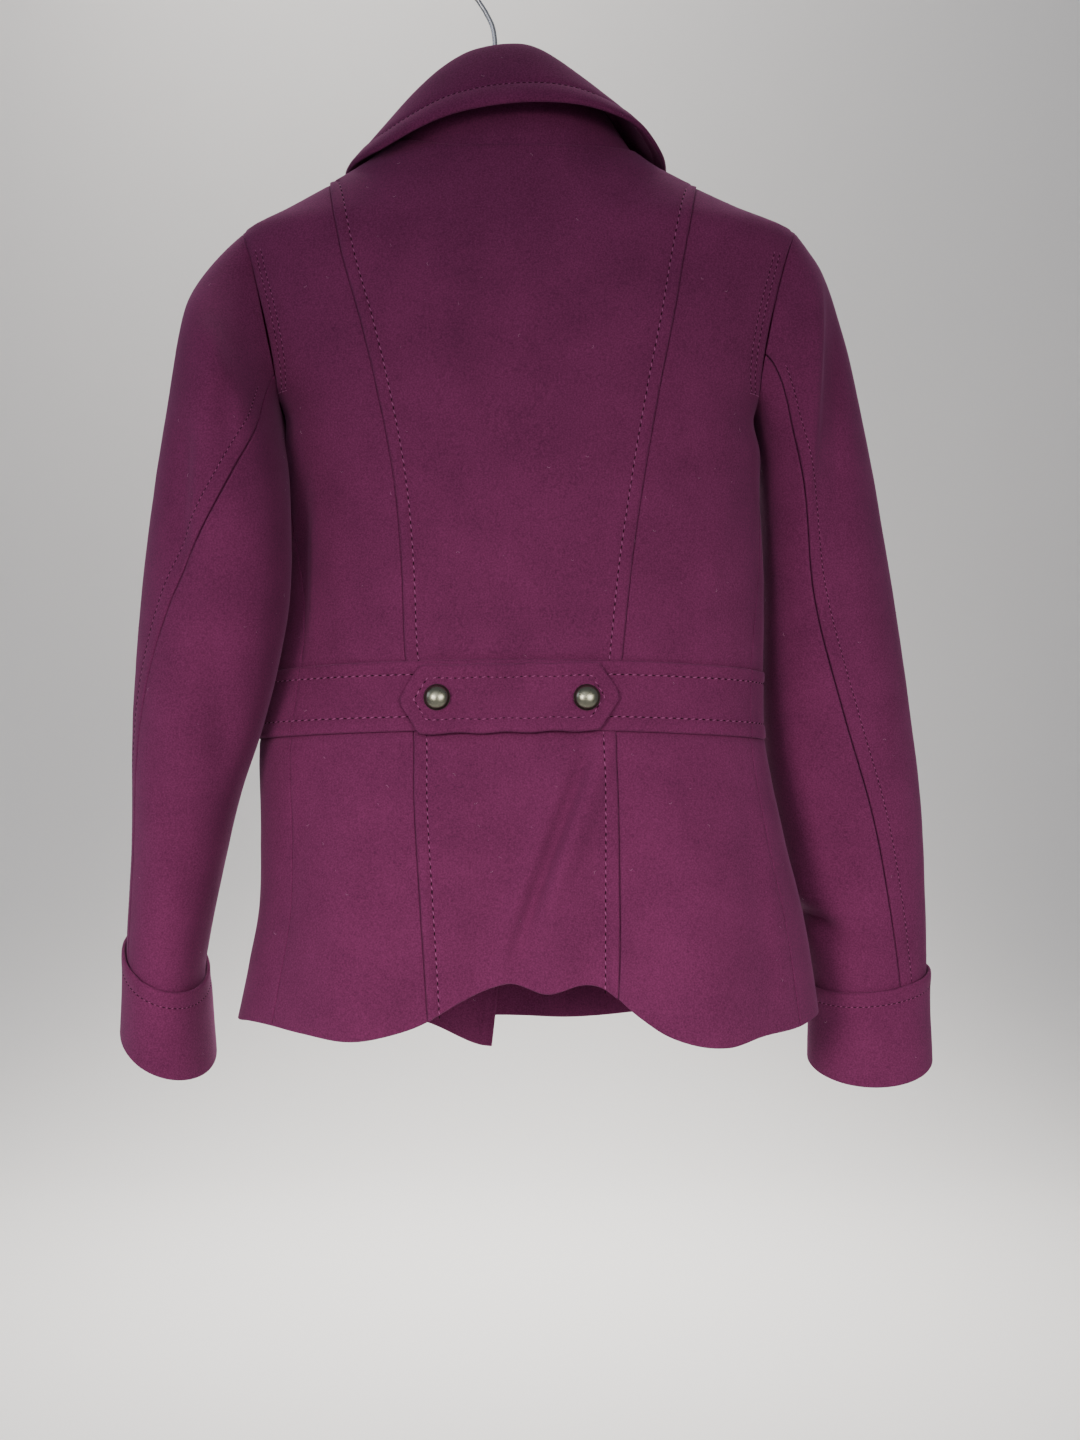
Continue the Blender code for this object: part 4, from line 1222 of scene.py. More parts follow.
@dataclass
class Sleeve:
    """Over sleeve, under sleeve and turned-back cuff of one arm."""

    form: BodyForm
    side: Side
    wall: float = 2.4
    cuff_wall: float = 2.8
    cuff_lift: float = 3.5
    cuff_start: float = 0.955
    front_seam_share: float = 0.72
    seam: float = 0.2
    blend: float = 0.15
    armhole_gap: float = 0.15
    seam_stitch: float = 10.0
    cuff_stitch: float = 8.5

    def __post_init__(self) -> None:
        """Reads the arm's table."""
        rings = ARMS[self.side]
        self.read = rings.curves()
        self.elbow, self.end = rings.row(len(rings.rows) // 2), rings.row(-1)

    def _armhole(self, turn: Array) -> Array:
        """Points of the armhole's edge, from the shoulder by the back to the armpit and on."""
        form = self.form
        drop = form.shoulder + (form.armpit - form.shoulder) * 0.5 * (1 - np.cos(turn))
        share = np.where(drop <= form.shoulder, 0.5, form.armhole[self.side](drop))
        points = form.point(self.side.value * np.where(np.sin(turn) >= 0, share, 1 - share), drop)
        points[..., 0] += self.side.value * self.armhole_gap
        return points

    def point(self, turn: Array, along: Array) -> Array:
        """Points of the sleeve.

        Args:
            turn: angles round the arm, from its outer edge by the back.
            along: places along it, 0 at the armhole and 1 at the sleeve's end.

        Returns:
            Points in the coat's frame.
        """
        turn, along = np.broadcast_arrays(as_array(turn), as_array(along))
        value = {name: curve(along) for name, curve in self.read.items()}
        outer, inner = (
            stack(self.side.value * value[f"{edge}_x"], value["middle"], -value[f"{edge}_drop"])
            for edge in ("outer", "inner")
        )
        swing = np.sin(turn)
        points = (outer + inner) / 2 + (outer - inner) / 2 * np.cos(turn)[..., None]
        points = points + stack(0.0, -value["half_depth"] * swing, -value["dip"] * swing)
        share = smoothstep(along / self.blend)[..., None]
        return self._armhole(turn) * (1 - share) + points * share

    def _turn_at(self, share: Array) -> Array:
        """The turn whose place across the arm is this share."""
        return np.arccos(1 - 2 * as_array(share))

    def _half(self, over: bool) -> Surface:
        """The surface of the over or the under sleeve."""
        front = 2 * math.pi - float(self._turn_at(self.front_seam_share))
        gap = self.seam / self.end["half_depth"]

        def surface(u: Array, v: Array) -> Array:
            """Points between the two seams."""
            back = self._turn_at(self.read["seam"](v))
            low, high = (front - 2 * math.pi + gap, back - gap) if over else (back + gap, front - gap)
            return self.point(low + u * (high - low), v)

        return surface

    def _cuff(self, u: Array, v: Array) -> Array:
        """The surface of the cuff."""
        return self.point(2 * math.pi * u, self.cuff_start + v * (self.end["along"] - self.cuff_start))

    def _middle(self, ring: dict[str, float]) -> tuple[float, float]:
        """The middle of a ring, seen from above."""
        return self.side.value * 0.5 * (ring["outer_x"] + ring["inner_x"]), ring["middle"]

    def sew(self, room: Workroom) -> None:
        """Makes the sleeve's three pieces."""
        word = self.side.word
        fine = [StitchRow(Edge.HIGH, self.seam_stitch, 0.1, 0.95, Thread.FINE)]
        for name, rows in (("over", fine), ("under", ())):
            half = self._half(name == "over")
            middle, soft = self._middle(self.elbow), SLEEVE_CREASES[self.side]
            shell = Shell(f"cloth_{name}_sleeve_{word}", half, self.wall, middle, 0.0, soft, rows)
            room.sew(shell, f"cloth_back_side_{word}", "sleeves")
        rows = [StitchRow(Edge.TOP, self.cuff_stitch, thread=Thread.FINE)]
        middle = self._middle(self.end)
        shape = {"lift": self.cuff_lift, "rows": rows, "closed": True}
        cuff = Shell(f"cloth_cuff_{word}", self._cuff, self.cuff_wall, middle, **shape)
        room.sew(cuff, f"cloth_under_sleeve_{word}", "sleeves")


@dataclass
class Collar:
    """A stand on the neck edge and a fall that rolls over its top."""

    form: BodyForm
    stand_wall: float = 2.4
    fall_wall: float = 3.2
    lap: float = 1.3
    tuck: float = 0.6
    allowance: float = 3.0
    lap_end: float = 0.56
    lap_fade: float = 0.05
    stand_clear: float = 1.0
    roll: tuple[float, float] = (10.0, 4.0)
    middle_x: float = -4.0
    edge_stitch: float = 10.0

    def _station(self, u: Array) -> tuple[Array, Array, Array, Array]:
        """Neck, fold and edge points, and the way out."""
        first, *_, last = COLLAR.values("share")
        share = first + u * (last - first)
        value = {name: curve(share) for name, curve in COLLAR.curves().items()}
        drop = self.form.neck_drop(share)
        step = 0.004
        across = self.form.point(share + step, drop) - self.form.point(share - step, drop)
        down = self.form.point(share, drop + 1) - self.form.point(share, drop - 1)
        seat = self.form.point(share, drop)
        normal = unit(np.cross(across, down))
        normal = normal * np.sign((normal * seat * (1, 1, 0)).sum(axis=-1, keepdims=True))
        lapped = self.lap * smoothstep((self.lap_end - np.abs(share)) / self.lap_fade)
        neck = seat + normal * (lapped - self.tuck)[..., None] - (0, 0, self.allowance)
        fold, edge = (
            stack(value[f"{line}_x"], value[f"{line}_y"], -value[f"{line}_drop"]) for line in ("fold", "edge")
        )
        return neck, fold, edge, unit(stack(value["fold_x"] - self.middle_x, value["fold_y"], 0.0))

    def _stand(self, u: Array, v: Array) -> Array:
        """Points of the stand, from under the fold to its allowance behind the neck edge."""
        neck, fold, _, _ = self._station(u)
        return (fold - (0, 0, self.stand_clear)) * (1 - v)[..., None] + neck * v[..., None]

    def _fall(self, u: Array, v: Array) -> Array:
        """Points of the fall, from the fold over the roll to the edge."""
        _, fold, edge, out = self._station(u)
        v = v[..., None]
        start = fold - out * self.stand_wall
        roll = fold + out * self.roll[0] + (0, 0, self.roll[1])
        return start * (1 - v) ** 2 + roll * 2 * v * (1 - v) + edge * v**2

    def sew(self, room: Workroom) -> None:
        """Makes the collar's two pieces."""
        stand = Shell("cloth_collar_stand", self._stand, self.stand_wall, unevenness=0.3)
        room.sew(stand, "cloth_back_centre", "collar")
        spans = ((Edge.BOTTOM, 0.03, 0.97), (Edge.LOW, 0.2, 0.86), (Edge.HIGH, 0.2, 0.86))
        rows = [StitchRow(edge, self.edge_stitch, start, end, Thread.FINE) for edge, start, end in spans]
        relief = {"pitch": 3.4, "groove": 1.5, "puff": 2.4}
        fall = Shell("cloth_collar_fall", self._fall, self.fall_wall, rows=rows, **relief)
        room.sew(fall, "cloth_collar_stand", "collar")


@dataclass
class BackTab:
    """The pointed tab across the waistband."""

    form: BodyForm
    left: float = -82.0
    right: float = 70.0
    drop: float = 552.5
    half_height: float = 24.6
    tip: float = 13.5
    tip_half: float = 2.5
    wall: float = 2.4
    face: float = 4.3
    tilt: float = -0.02
    stitch: float = 9.5
    lower_lift: float = 2.6
    relief: float = 0.6
    wave: float = 0.5
    wave_rate: float = 0.19
    trace_step: float = 2.0

    def _level(self, x: Array) -> Array:
        """The drop of the tab's middle line, which tilts a little."""
        return self.drop + self.tilt * (x - 0.5 * (self.left + self.right))

    def _half(self, x: Array) -> tuple[Array, Array]:
        """Half the tab's height, and how far a place is from a tip's end to its shoulder."""
        inset = np.minimum(np.minimum(x - self.left, self.right - x), self.tip) / self.tip
        return self.tip_half + (self.half_height - self.tip_half) * inset, inset

    def _surface(self, u: Array, v: Array) -> Array:
        """The tab read by (u, v), with slightly wavy edges."""
        x = self.left + u * (self.right - self.left)
        half, inset = self._half(x)
        drop = self._level(x) + (2 * v - 1) * (half + self.wave * np.sin(self.wave_rate * x) * inset)
        return self.form.point(self.form.share_at(drop, x), drop)

    def _pressed(self, points: Array) -> Array:
        """The groove of the sewing, the full edge and the lifted lower edge."""
        x, drop = points[..., 0], -points[..., 2]
        way = np.abs(drop - self.drop - self.tilt * (x - 0.5 * (self.left + self.right)))
        rise, run = self.half_height - self.tip_half, self.tip
        left, right = (
            ((away * rise / run + self.tip_half) - way) * run / math.hypot(rise, run)
            for away in (x - self.left, self.right - x)
        )
        away = np.minimum(np.minimum(left, right), self.half_height - way)
        lower = smoothstep((drop - self.drop) / self.half_height)
        pressed = self.relief * swell(away, self.stitch) - self.relief * dent(away, self.stitch)
        return pressed + self.lower_lift * lower

    def _stitch_line(self) -> Array:
        """Places across and distances below the middle line of the row of sewing, all round."""
        rise = self.half_height - self.tip_half
        tip = self.stitch * math.hypot(rise, self.tip) / rise - self.tip_half * self.tip / rise
        half = self.half_height - self.stitch
        shoulder = tip + half * self.tip / rise
        ends, shoulders = ((self.left + inset, self.right - inset) for inset in (tip, shoulder))
        upper = [(ends[0], 0), (shoulders[0], -half), (shoulders[1], -half), (ends[1], 0)]
        return as_array(upper + [(shoulders[1], half), (shoulders[0], half), (ends[0], 0)])

    def sew(self, room: Workroom) -> None:
        """Makes the tab and traces its sewing."""
        relief = {"pitch": 2.0, "extra": self._pressed, "unevenness": 0.3}
        shell = Shell("cloth_back_tab", self._surface, self.wall, lift=self.face, **relief)
        room.sew(shell, "cloth_waistband_back", "tab")
        corners = self._stitch_line().T
        lengths = run_lengths(*corners)
        way = np.linspace(0, lengths[-1], round(lengths[-1] / self.trace_step))
        x, aside = (np.interp(way, lengths, line) for line in corners)
        half, _ = self._half(x)
        u, v = (x - self.left) / (self.right - self.left), 0.5 + 0.5 * aside / half
        room.paths["tab"].append(shell.path(u, v, Thread.BOLD))


@dataclass
class Buttons:
    """Domed metal buttons with a dark rim, on the tab and in two columns on the front."""

    form: BodyForm
    radius: float = 9.3
    height: float = 7.4
    rim: float = 2.0
    dome: float = 0.93
    patina_from: float = 0.86
    patina_gain: float = 5.0
    segments: int = 48
    arc: int = 14
    gap: float = 0.7
    tab_x: dict[Side, float] = field(default_factory=lambda: {Side.LEFT: -56.0, Side.RIGHT: 48.0})
    tab_drop: float = 552.5
    tab_lift: float = 4.0
    front_x: float = 58.0
    front_drops: tuple[float, ...] = (330.0, 440.0, 555.0)

    def _profile(self) -> Array:
        """Radius, height and patina along the button, from the crown to the foot."""
        rows = []
        for angle in 0.5 * math.pi * np.arange(self.arc + 1) / self.arc:
            patina = max(0.0, math.sin(angle) - self.patina_from) * self.patina_gain
            up = self.rim + (self.height - self.rim) * math.cos(angle)
            rows.append((self.dome * self.radius * math.sin(angle), up, patina))
        rows += [(0.95 * self.radius, self.rim - 0.5, 1.0), (0.985 * self.radius, self.rim - 0.1, 0.75)]
        rows += [(self.radius, self.rim - 0.6, 0.7), (0.97 * self.radius, 0.5, 1.0)]
        return as_array([*rows, (0.88 * self.radius, 0.0, 1.0)])

    def _place(self, name: str, share: float, drop: float, lift: float, room: Workroom) -> None:
        """Makes one button on the coat."""
        steps = as_array([(0.0, 0.0), (0.005, 0.0), (0.0, 2.0)])
        here, beside, below = self.form.point(share + steps[:, 0], drop + steps[:, 1])
        normal = unit(np.cross(beside - here, below - here))
        normal = normal * np.sign(normal @ (here * (1, 1, 0)))
        side = unit(np.cross(normal, (0.0, 0.0, 1.0)))
        up = np.cross(side, normal)
        profile = self._profile()
        turn = np.linspace(0, 2 * math.pi, self.segments, endpoint=False)
        ring = np.cos(turn)[:, None] * side + np.sin(turn)[:, None] * up
        seat = here + normal * (lift + self.gap)
        body = seat + profile[1:, None, 0:1] * ring[None] + profile[1:, None, 1:2] * normal
        corners = np.concatenate([[seat + normal * self.height], body.reshape(-1, 3), [seat]])
        index = 1 + np.arange(body.shape[0] * self.segments).reshape(body.shape[0], self.segments)
        after = np.roll(index, -1, axis=1)
        faces = [(0, a, b) for a, b in zip(index[0].tolist(), after[0].tolist())]
        faces += np.stack([index[:-1], index[1:], after[1:], after[:-1]], axis=-1).reshape(-1, 4).tolist()
        faces += [(len(corners) - 1, b, a) for a, b in zip(index[-1].tolist(), after[-1].tolist())]
        item = make_object(f"button_{name}", corners, faces)
        patina = item.data.attributes.new("patina", "FLOAT", "POINT")
        values = np.concatenate([[0.0], np.repeat(profile[1:, 2], self.segments), [1.0]])
        patina.data.foreach_set("value", values.astype(np.float32))
        dress(item, name, room.finishes.pewter)

    def sew(self, room: Workroom, coat: CoatBody) -> None:
        """Makes every button."""
        for side in Side:
            share = float(self.form.share_at(self.tab_drop, self.tab_x[side]))
            self._place(f"tab_button_{side.word}", share, self.tab_drop, self.tab_lift, room)
            x = side.value * self.front_x
            for row, drop in enumerate(self.front_drops, 1):
                share = float(self.form.share_at(drop, x, front=True))
                base = coat.band_lift if coat.band_top < drop < coat.band_bottom else 0.0
                lift = base + float(coat.overlap(x))
                self._place(f"front_button_{side.word}_{row}", share, drop, lift, room)


@dataclass
class Hanger:
    """A plain round bar bent to the shoulders and its wire hook."""

    bar_radius: float = 6.0
    wire: float = 1.8
    loop: float = 19.6
    start_deg: float = 229.0
    end_deg: float = -28.0
    crown: float = 139.0
    wall: float = 2.4
    gap: float = 0.4
    sharp_deg: float = 50.0
    roundness: int = 5
    bar_steps: int = 97
    shank_steps: int = 40
    bend_steps: int = 64
    bar_drops: tuple[float, ...] = (152, 160, 170, 180, 190, 199)
    shank: tuple[tuple[float, float], ...] = (
        (0, 132.7), (0, 100), (0, 66), (-0.4, 60), (-2.2, 51.5), (-7.4, 41),
    )

    def _bar_end(self, side: Side) -> list[tuple[float, float]]:
        """Places across and heights of the bar's middle under one shoulder seam."""
        width = SECTIONS.curve(side.word)
        found = []
        for drop in self.bar_drops:
            here = Vector((float(width(drop)), -drop))
            slope = Vector((float(width(drop + 1)), -drop - 1)) - here
            here += Vector((slope.y, -slope.x)).normalized() * (self.wall + self.gap + self.bar_radius)
            found.append((side.value * here.x, here.y))
        return found

    def _tube(self, name: str, points: Sequence[tuple[float, float]], radius: float) -> Piece:
        """A round rod along places across and heights, as a mesh."""
        curve = bpy.data.curves.new(name, "CURVE")
        curve.dimensions = "3D"
        curve.bevel_depth = radius * MM
        curve.bevel_resolution = self.roundness
        curve.use_fill_caps = True
        spline = curve.splines.new("POLY")
        spline.points.add(len(points) - 1)
        for place, (x, z) in zip(spline.points, points):
            place.co = ((x + COAT_SHIFT) * MM, 0.0, z * MM, 1.0)
        guide = link(f"{name}_guide", curve)
        mesh = settled_mesh(guide)
        bpy.data.objects.remove(guide)
        mesh.shade_smooth()
        mesh.set_sharp_from_angle(angle=math.radians(self.sharp_deg))
        return link(name, mesh)

    def hang(self, finishes: Finishes) -> None:
        """Makes the bar and the hook."""
        route = self._bar_end(Side.LEFT)[::-1] + [(-COAT_SHIFT, -self.crown)] + self._bar_end(Side.RIGHT)
        curve = Profile(*zip(*route))
        bar = [(x, float(curve(x))) for x in np.linspace(route[0][0], route[-1][0], self.bar_steps)]
        dress(self._tube("bar", bar, self.bar_radius), "hanger_bar", finishes.beech)
        across, drops = zip(*self.shank)
        bend = Profile(tuple(-drop for drop in drops), across)
        heights = np.linspace(-drops[0], -drops[-1], self.shank_steps)
        wire = [(float(bend(z)) - COAT_SHIFT, z) for z in heights]
        turns = np.radians(np.linspace(self.start_deg, self.end_deg, self.bend_steps))
        middle = self.wire - self.loop
        wire += [(self.loop * math.cos(t) - COAT_SHIFT, middle + self.loop * math.sin(t)) for t in turns]
        dress(self._tube("hook", wire, self.wire), "hanger_hook", finishes.steel)


# Sewing and lint by Geometry Nodes


def new_tree(name: str, sockets: dict[str, str]) -> tuple[Tree, bpy.types.NodeOutputs]:
    """A geometry tree and its named inputs.

    Args:
        name: the tree's name.
        sockets: input names and their kinds, beside the geometry.

    Returns:
        The tree and its inputs.
    """
    tree = bpy.data.node_groups.new(name, "GeometryNodeTree")
    for way in ("INPUT", "OUTPUT"):
        tree.interface.new_socket("Geometry", in_out=way, socket_type="NodeSocketGeometry")
    for label, kind in sockets.items():
        tree.interface.new_socket(label, in_out="INPUT", socket_type=f"NodeSocket{kind}")
    return tree, tree.nodes.new("NodeGroupInput").outputs


def end_tree(tree: Tree, made: Socket, finish: Socket, smooth: bool) -> Tree:
    """Ends a tree with plain geometry in a finish.

    Args:
        tree: the tree.
        made: what it has laid.
        finish: the input that holds the material.
        smooth: whether its faces are shaded smooth.

    Returns:
        The tree.
    """
    made = add(tree, "GeometryNodeRealizeInstances", {"Geometry": made})
    if smooth:
        made = add(tree, "GeometryNodeSetShadeSmooth", {"Geometry": made})
    made = add(tree, "GeometryNodeSetMaterial", {"Geometry": made, "Material": finish})
    feed(tree.nodes.new("NodeGroupOutput"), {0: made})
    return tree


def drawn(tree: Tree, low: float, high: float, seed: Socket | int) -> Socket:
    """A random number between two others for each thing laid."""
    return add(tree, "FunctionNodeRandomValue", {2: low, 3: high, "Seed": seed}, 1, data_type="FLOAT")


def spun(tree: Tree, turned: Socket, angle: Socket) -> Socket:
    """A rotation turned on about its own upright axis."""
    spin = add(tree, "FunctionNodeAxisAngleToRotation", {"Axis": (0, 0, 1), "Angle": angle})
    return add(tree, "FunctionNodeRotateRotation", {0: turned, 1: spin}, rotation_space="LOCAL")


def grow(name: str, guide: Mesh, tree: Tree, values: dict[str, object]) -> Piece:
    """Runs a geometry tree on a guide mesh and keeps the result as a plain mesh.

    Args:
        name: the new piece's name.
        guide: the mesh that the tree reads.
        tree: the tree.
        values: its inputs, by name.

    Returns:
        The new piece.
    """
    item = link(name, guide)
    modifier = item.modifiers.new(tree.name, "NODES")
    modifier.node_group = tree
    for socket in tree.interface.items_tree:
        if socket.in_out == "INPUT" and socket.name in values:
            modifier[socket.identifier] = values[socket.name]
    mesh = settled_mesh(item)
    item.modifiers.clear()
    item.data = mesh
    bpy.data.meshes.remove(guide)
    return item


class StitchSize(NamedTuple):
    """How far apart a thread's stitches start, and how long and wide one is."""

    pitch: float
    length: float
    width: float


STITCHES = {
    Thread.BOLD: StitchSize(5.7, 3.2, 0.72),
    Thread.FINE: StitchSize(4.2, 1.7, 0.46),
    Thread.TACK: StitchSize(1.2, 1.5, 0.6),
}


@dataclass
class Sewing:
    """Rows of thread that follow the traced paths, with beads of painted shade in the needle holes between
    the stitches.
    """

    finishes: Finishes
    slant_deg: float = 14.0
    lean_range: tuple[float, float] = (0.6, 1.4)
    # width of the beads of painted shade in the needle holes, as a share of the stitch's width
    hole_shade_width: float = 1.3
    sink: float = 0.05
    seed: int = 11

    def _tree(self) -> Tree:
        """The tree that lays a stitch, or a bead of painted shade in the needle hole between two, at even
        steps along a path.
        """
        kinds = dict.fromkeys(("Pitch", "Shift", "Length", "Width", "Slant"), "Float")
        tree, given = new_tree("stitches", kinds | {"Seed": "Int", "Thread": "Material"})
        path = add(tree, "GeometryNodeMeshToCurve", {"Mesh": given["Geometry"]})
        inputs = {"Curve": path, "Length": given["Pitch"]}
        steps = add(tree, "GeometryNodeResampleCurve", inputs, mode="LENGTH")
        tangent = add(tree, "GeometryNodeInputTangent")
        up = add(tree, "GeometryNodeInputNamedAttribute", {"Name": "up"}, data_type="FLOAT_VECTOR")
        shift = add(tree, "ShaderNodeVectorMath", {0: tangent, "Scale": given["Shift"]}, operation="SCALE")
        moved = add(tree, "GeometryNodeSetPosition", {"Geometry": steps, "Offset": shift})
        align = "FunctionNodeAlignRotationToVector"
        along = add(tree, align, {"Vector": tangent}, axis="X")
        stood = add(tree, align, {"Rotation": along, "Vector": up}, axis="Z", pivot_axis="X")
        wobble = drawn(tree, *self.lean_range, given["Seed"])
        angle = add(tree, "ShaderNodeMath", {0: given["Slant"], 1: wobble}, operation="MULTIPLY")
        bead = add(tree, "GeometryNodeMeshUVSphere", {"Segments": 8, "Rings": 6, "Radius": 0.5})
        size = add(tree, "ShaderNodeCombineXYZ", {0: given["Length"], 1: given["Width"], 2: given["Width"]})
        stitch = add(tree, "GeometryNodeTransform", {"Geometry": bead, "Scale": size})
        inputs = {"Points": moved, "Instance": stitch, "Rotation": spun(tree, stood, angle)}
        laid = add(tree, "GeometryNodeInstanceOnPoints", inputs)
        return end_tree(tree, laid, given["Thread"], smooth=True)

    def _guide(self, paths: Sequence[StitchPath]) -> Mesh:
        """The paths as loose edges that carry the cloth's normal."""
        points, ups, edges = [], [], []
        for path in paths:
            start = sum(map(len, points))
            points.append((path.points + path.ups * self.sink + (COAT_SHIFT, 0, 0)) * MM)
            ups.append(path.ups)
            edges += [(start + i, start + i + 1) for i in range(len(path.points) - 1)]
        mesh = bpy.data.meshes.new("path")
        mesh.from_pydata(np.concatenate(points).tolist(), edges, [])
        up = mesh.attributes.new("up", "FLOAT_VECTOR", "POINT")
        up.data.foreach_set("vector", np.concatenate(ups).astype(np.float32).ravel())
        return mesh

    def sew(self, room: Workroom) -> None:
        """Makes the threads of every group of rows, and the beads of painted shade in the needle holes
        between stitches.
        """
        tree = self._tree()
        for group, paths in room.paths.items():
            for thread, (pitch, length, width) in STITCHES.items():
                mine = [path for path in paths if path.thread is thread]
                gap, shade_width = pitch - length, self.hole_shade_width * width
                kinds = {
                    "stitches": (0.0, length, width, self.slant_deg, self.finishes.thread),
                    # painted shade: dark beads in the gaps between stitches stand in for the shadow in the
                    # needle holes
                    "needle_marks": (0.5 * pitch, gap, shade_width, 0.0, self.finishes.shade),
                }
                for kind, (shift, long, wide, slant, finish) in kinds.items():
                    if not mine or long <= 0:
                        continue
                    values = {"Pitch": pitch, "Shift": shift, "Length": long, "Width": wide}
                    values = {name: size * MM for name, size in values.items()}
                    values |= {"Slant": math.radians(slant), "Seed": self.seed, "Thread": finish}
                    item = grow(f"{kind}_{group}_{thread.value}", self._guide(mine), tree, values)
                    dress(item, None, finish)


@dataclass
class Lint:
    """Pale fibres caught in the nap."""

    finishes: Finishes
    per_square_metre: float = 330.0
    length: float = 1.7
    thickness: float = 0.11
    size_range: tuple[float, float] = (0.4, 1.5)
    seed: int = 5
    size_seed: int = 3

    def _tree(self) -> Tree:
        """The tree that scatters curled fibres over a surface."""
        kinds = dict.fromkeys(("Density", "Length", "Thickness"), "Float")
        tree, given = new_tree("lint", kinds | {"Seed": "Int", "Fibre": "Material"})
        inputs = {"Mesh": given["Geometry"], "Density": given["Density"], "Seed": given["Seed"]}
        spots = add(tree, "GeometryNodeDistributePointsOnFaces", inputs, "Points")
        curl = {"Start": (-0.5, 0, 0.02), "Middle": (0.1, 0.5, 0.14), "End": (0.5, -0.1, 0.05)}
        line = add(tree, "GeometryNodeCurveQuadraticBezier", curl | {"Resolution": 5})
        scale = add(tree, "ShaderNodeCombineXYZ", {axis: given["Length"] for axis in range(3)})
        sized = add(tree, "GeometryNodeTransform", {"Geometry": line, "Scale": scale})
        ring = add(tree, "GeometryNodeCurvePrimitiveCircle", {"Resolution": 3, "Radius": given["Thickness"]})
        fibre = add(tree, "GeometryNodeCurveToMesh", {"Curve": sized, "Profile Curve": ring})
        angle = drawn(tree, 0.0, 2 * math.pi, given["Seed"])
        turned = spun(tree, spots.node.outputs["Rotation"], angle)
        size = drawn(tree, *self.size_range, self.size_seed)
        inputs = {"Points": spots, "Instance": fibre, "Rotation": turned, "Scale": size}
        laid = add(tree, "GeometryNodeInstanceOnPoints", inputs)
        return end_tree(tree, laid, given["Fibre"], smooth=False)

    def scatter(self, room: Workroom) -> None:
        """Scatters lint over the cloth."""
        tree = self._tree()
        values = {"Density": self.per_square_metre, "Seed": self.seed, "Fibre": self.finishes.lint}
        values |= {"Length": self.length * MM, "Thickness": 0.5 * self.thickness * MM}
        for piece in room.pieces:
            name = piece.name.replace("cloth_", "lint_")
            dress(grow(name, piece.data.copy(), tree, values), None, self.finishes.lint)


# Studio


class Lamp(NamedTuple):
    """A square soft light: its name, place, aim, side, watts, colour and how widely it fans out."""

    name: str
    place: tuple[float, float, float]
    aim: tuple[float, float, float]
    size: float
    power: float
    colour: str
    spread_deg: float = 180.0

    def stand(self) -> None:
        """Adds the light to the scene."""
        lamp = bpy.data.lights.new(self.name, "AREA")
        lamp.energy, lamp.size = self.power, self.size
        lamp.spread = math.radians(self.spread_deg)
        lamp.color = linear(self.colour)[:3]
        item = link(self.name, lamp)
        item.location = self.place
        item.rotation_euler = (Vector(self.aim) - Vector(self.place)).to_track_quat("-Z", "Y").to_euler()


COAT_MIDDLE = (0.0, 0.0, -0.55)
LAMPS = (
    Lamp("key", (-1.0, -1.9, -0.3), (-0.04, 0.0, -0.97), 0.6, 2.8, "#FFF7F2", 50.0),
    Lamp("fill", (0.75, -1.8, -0.5), (0.15, 0.0, -0.95), 1.1, 3.7, "#FFF9F4", 50.0),
    Lamp("front", (-0.7, -2.4, 0.6), COAT_MIDDLE, 1.4, 7.0, "#F6F6FF"),
    Lamp("side", (-2.2, -0.8, 0.3), COAT_MIDDLE, 1.0, 5.0, "#DCE4FF"),
    Lamp("overhead", (0.0, 1.1, 1.9), (0.0, 1.3, -1.25), 1.6, 22.0, "#FFFDFA"),
    Lamp("floor", (0.0, 0.95, 1.4), (0.0, 0.95, -1.25), 0.8, 17.0, "#FFFCF8", 60.0),
    Lamp("wall_top", (-0.5, 1.4, 1.3), (-0.5, 2.4, 0.7), 0.7, 10.0, "#FFFAF4"),
)


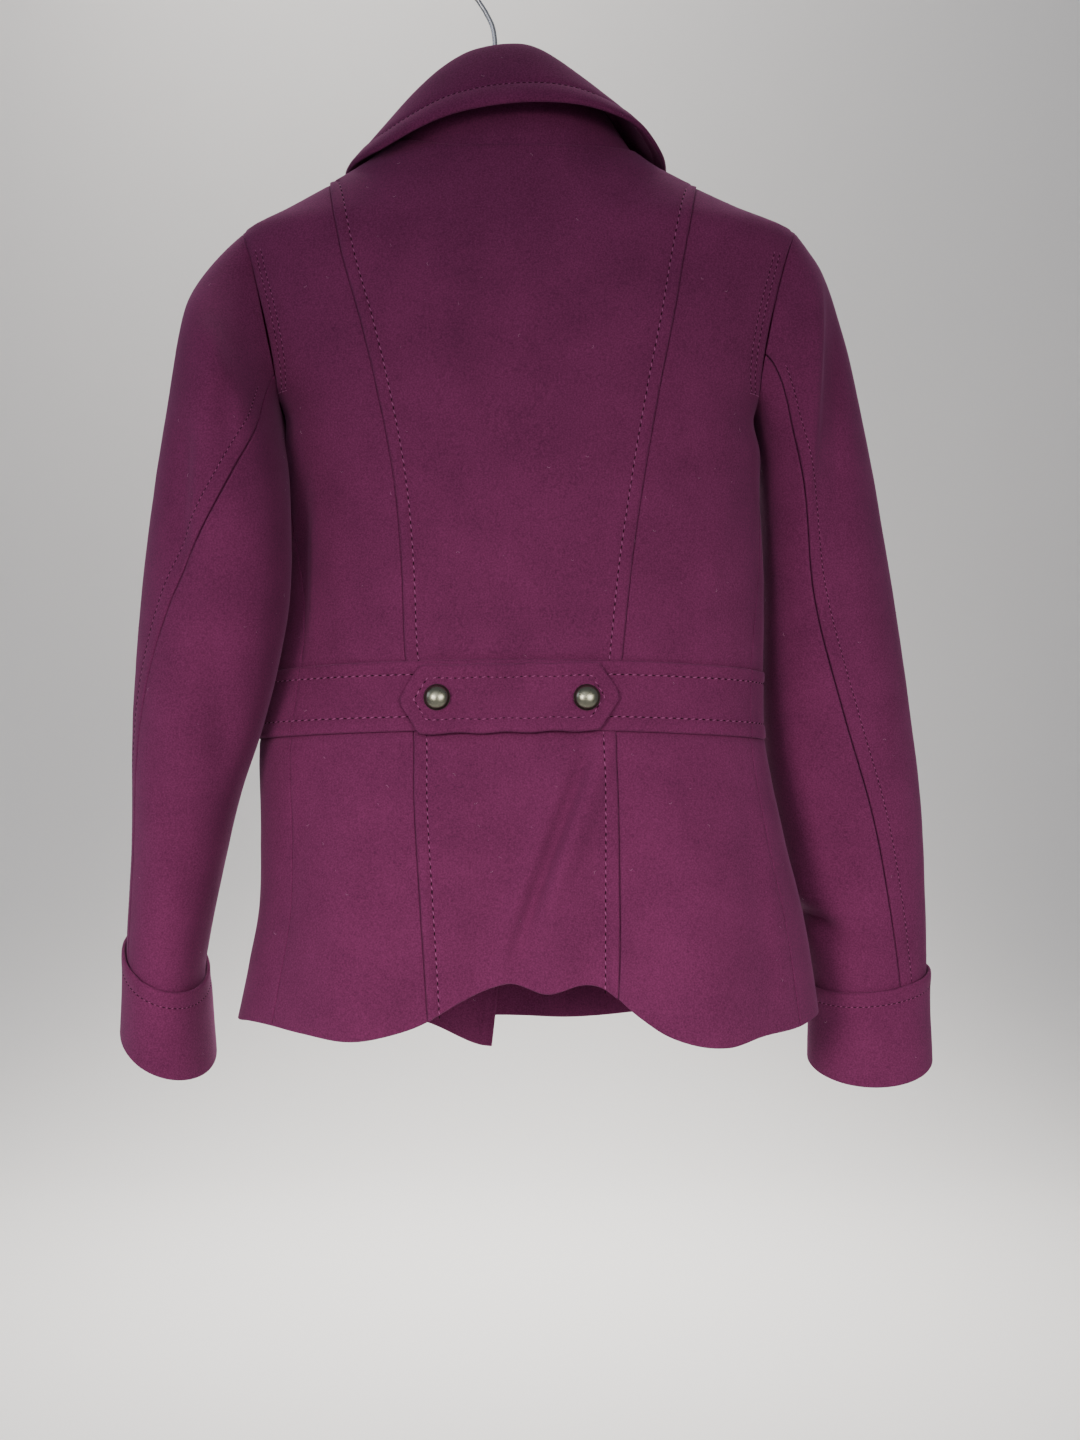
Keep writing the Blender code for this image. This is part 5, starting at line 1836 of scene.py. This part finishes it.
@dataclass
class Studio:
    """A pale floor that sweeps up behind the coat, soft lights and the photograph's camera."""

    camera_at: tuple[float, float, float] = (0.0334, -1.38, -0.5676)
    view_height: float = 1.008
    view_distance: float = 1.30
    sensor: float = 36.0
    floor_z: float = -1.25
    wall_y: float = 2.4
    sweep: float = 1.0
    sweep_steps: int = 16
    half_width: float = 6.0
    front_y: float = -6.0
    top_z: float = 3.5
    paper: str = "#EDEBE8"
    sky: str = "#D6DBEA"
    sky_strength: float = 0.3

    def _paper(self) -> None:
        """Makes the floor and the wall that it sweeps up to."""
        line = [(self.front_y, self.floor_z), (self.wall_y - self.sweep, self.floor_z)]
        for step in range(1, self.sweep_steps + 1):
            angle = 0.5 * math.pi * step / self.sweep_steps
            back, up = 1 - math.sin(angle), 1 - math.cos(angle)
            line.append((self.wall_y - self.sweep * back, self.floor_z + self.sweep * up))
        line.append((self.wall_y, self.top_z))
        corners = [(x, y, z) for y, z in line for x in (-self.half_width, self.half_width)]
        mesh = bpy.data.meshes.new("floor")
        faces = [(i, i + 1, i + 3, i + 2) for i in range(0, len(corners) - 2, 2)]
        mesh.from_pydata(corners, [], faces)
        mesh.shade_smooth()
        material, _, shader = new_material("matt_paper")
        feed(shader, {"Base Color": linear(self.paper), "Roughness": 0.9})
        mesh.materials.append(material)
        floor = link("floor", mesh)

    def _sky(self) -> None:
        """Makes the room's even light."""
        world = bpy.data.worlds.new("soft_room")
        world.use_nodes = True
        inputs = {"Color": linear(self.sky), "Strength": self.sky_strength}
        feed(world.node_tree.nodes["Background"], inputs)
        bpy.context.scene.world = world

    def _camera(self) -> None:
        """Makes the photograph's camera."""
        camera = bpy.data.cameras.new("camera")
        camera.sensor_width = self.sensor
        camera.lens = 0.5 * self.sensor / (0.5 * self.view_height / self.view_distance)
        camera.dof.use_dof = False
        item = link("camera", camera)
        item.location = self.camera_at
        item.rotation_euler = (math.pi / 2, 0, 0)
        bpy.context.scene.camera = item

    def build(self) -> None:
        """Makes floor, lights and camera."""
        self._paper()
        self._sky()
        for lamp in LAMPS:
            lamp.stand()
        self._camera()


def clear_scene() -> None:
    """Removes the start-up scene's objects."""
    for item in list(bpy.data.objects):
        bpy.data.objects.remove(item, do_unlink=True)


def main() -> None:
    """Builds the coat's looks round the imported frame."""
    logging.basicConfig(level=logging.INFO, format="%(name)s: %(message)s")
    clear_scene()
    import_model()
    form, finishes = BodyForm(), Finishes()
    room, coat = Workroom(finishes), CoatBody(form)
    coat.sew_upper(room)
    coat.sew_waistband(room)
    coat.sew_skirt(room)
    for side in Side:
        Sleeve(form, side).sew(room)
    Collar(form).sew(room)
    BackTab(form).sew(room)
    LOG.info("whole cut: %.3f square metres", room.cut)
    Buttons(form).sew(room, coat)
    Hanger().hang(finishes)
    Sewing(finishes).sew(room)
    Lint(finishes).scatter(room)
    Studio().build()
    bpy.context.view_layer.update()


if __name__ == "__main__":
    main()
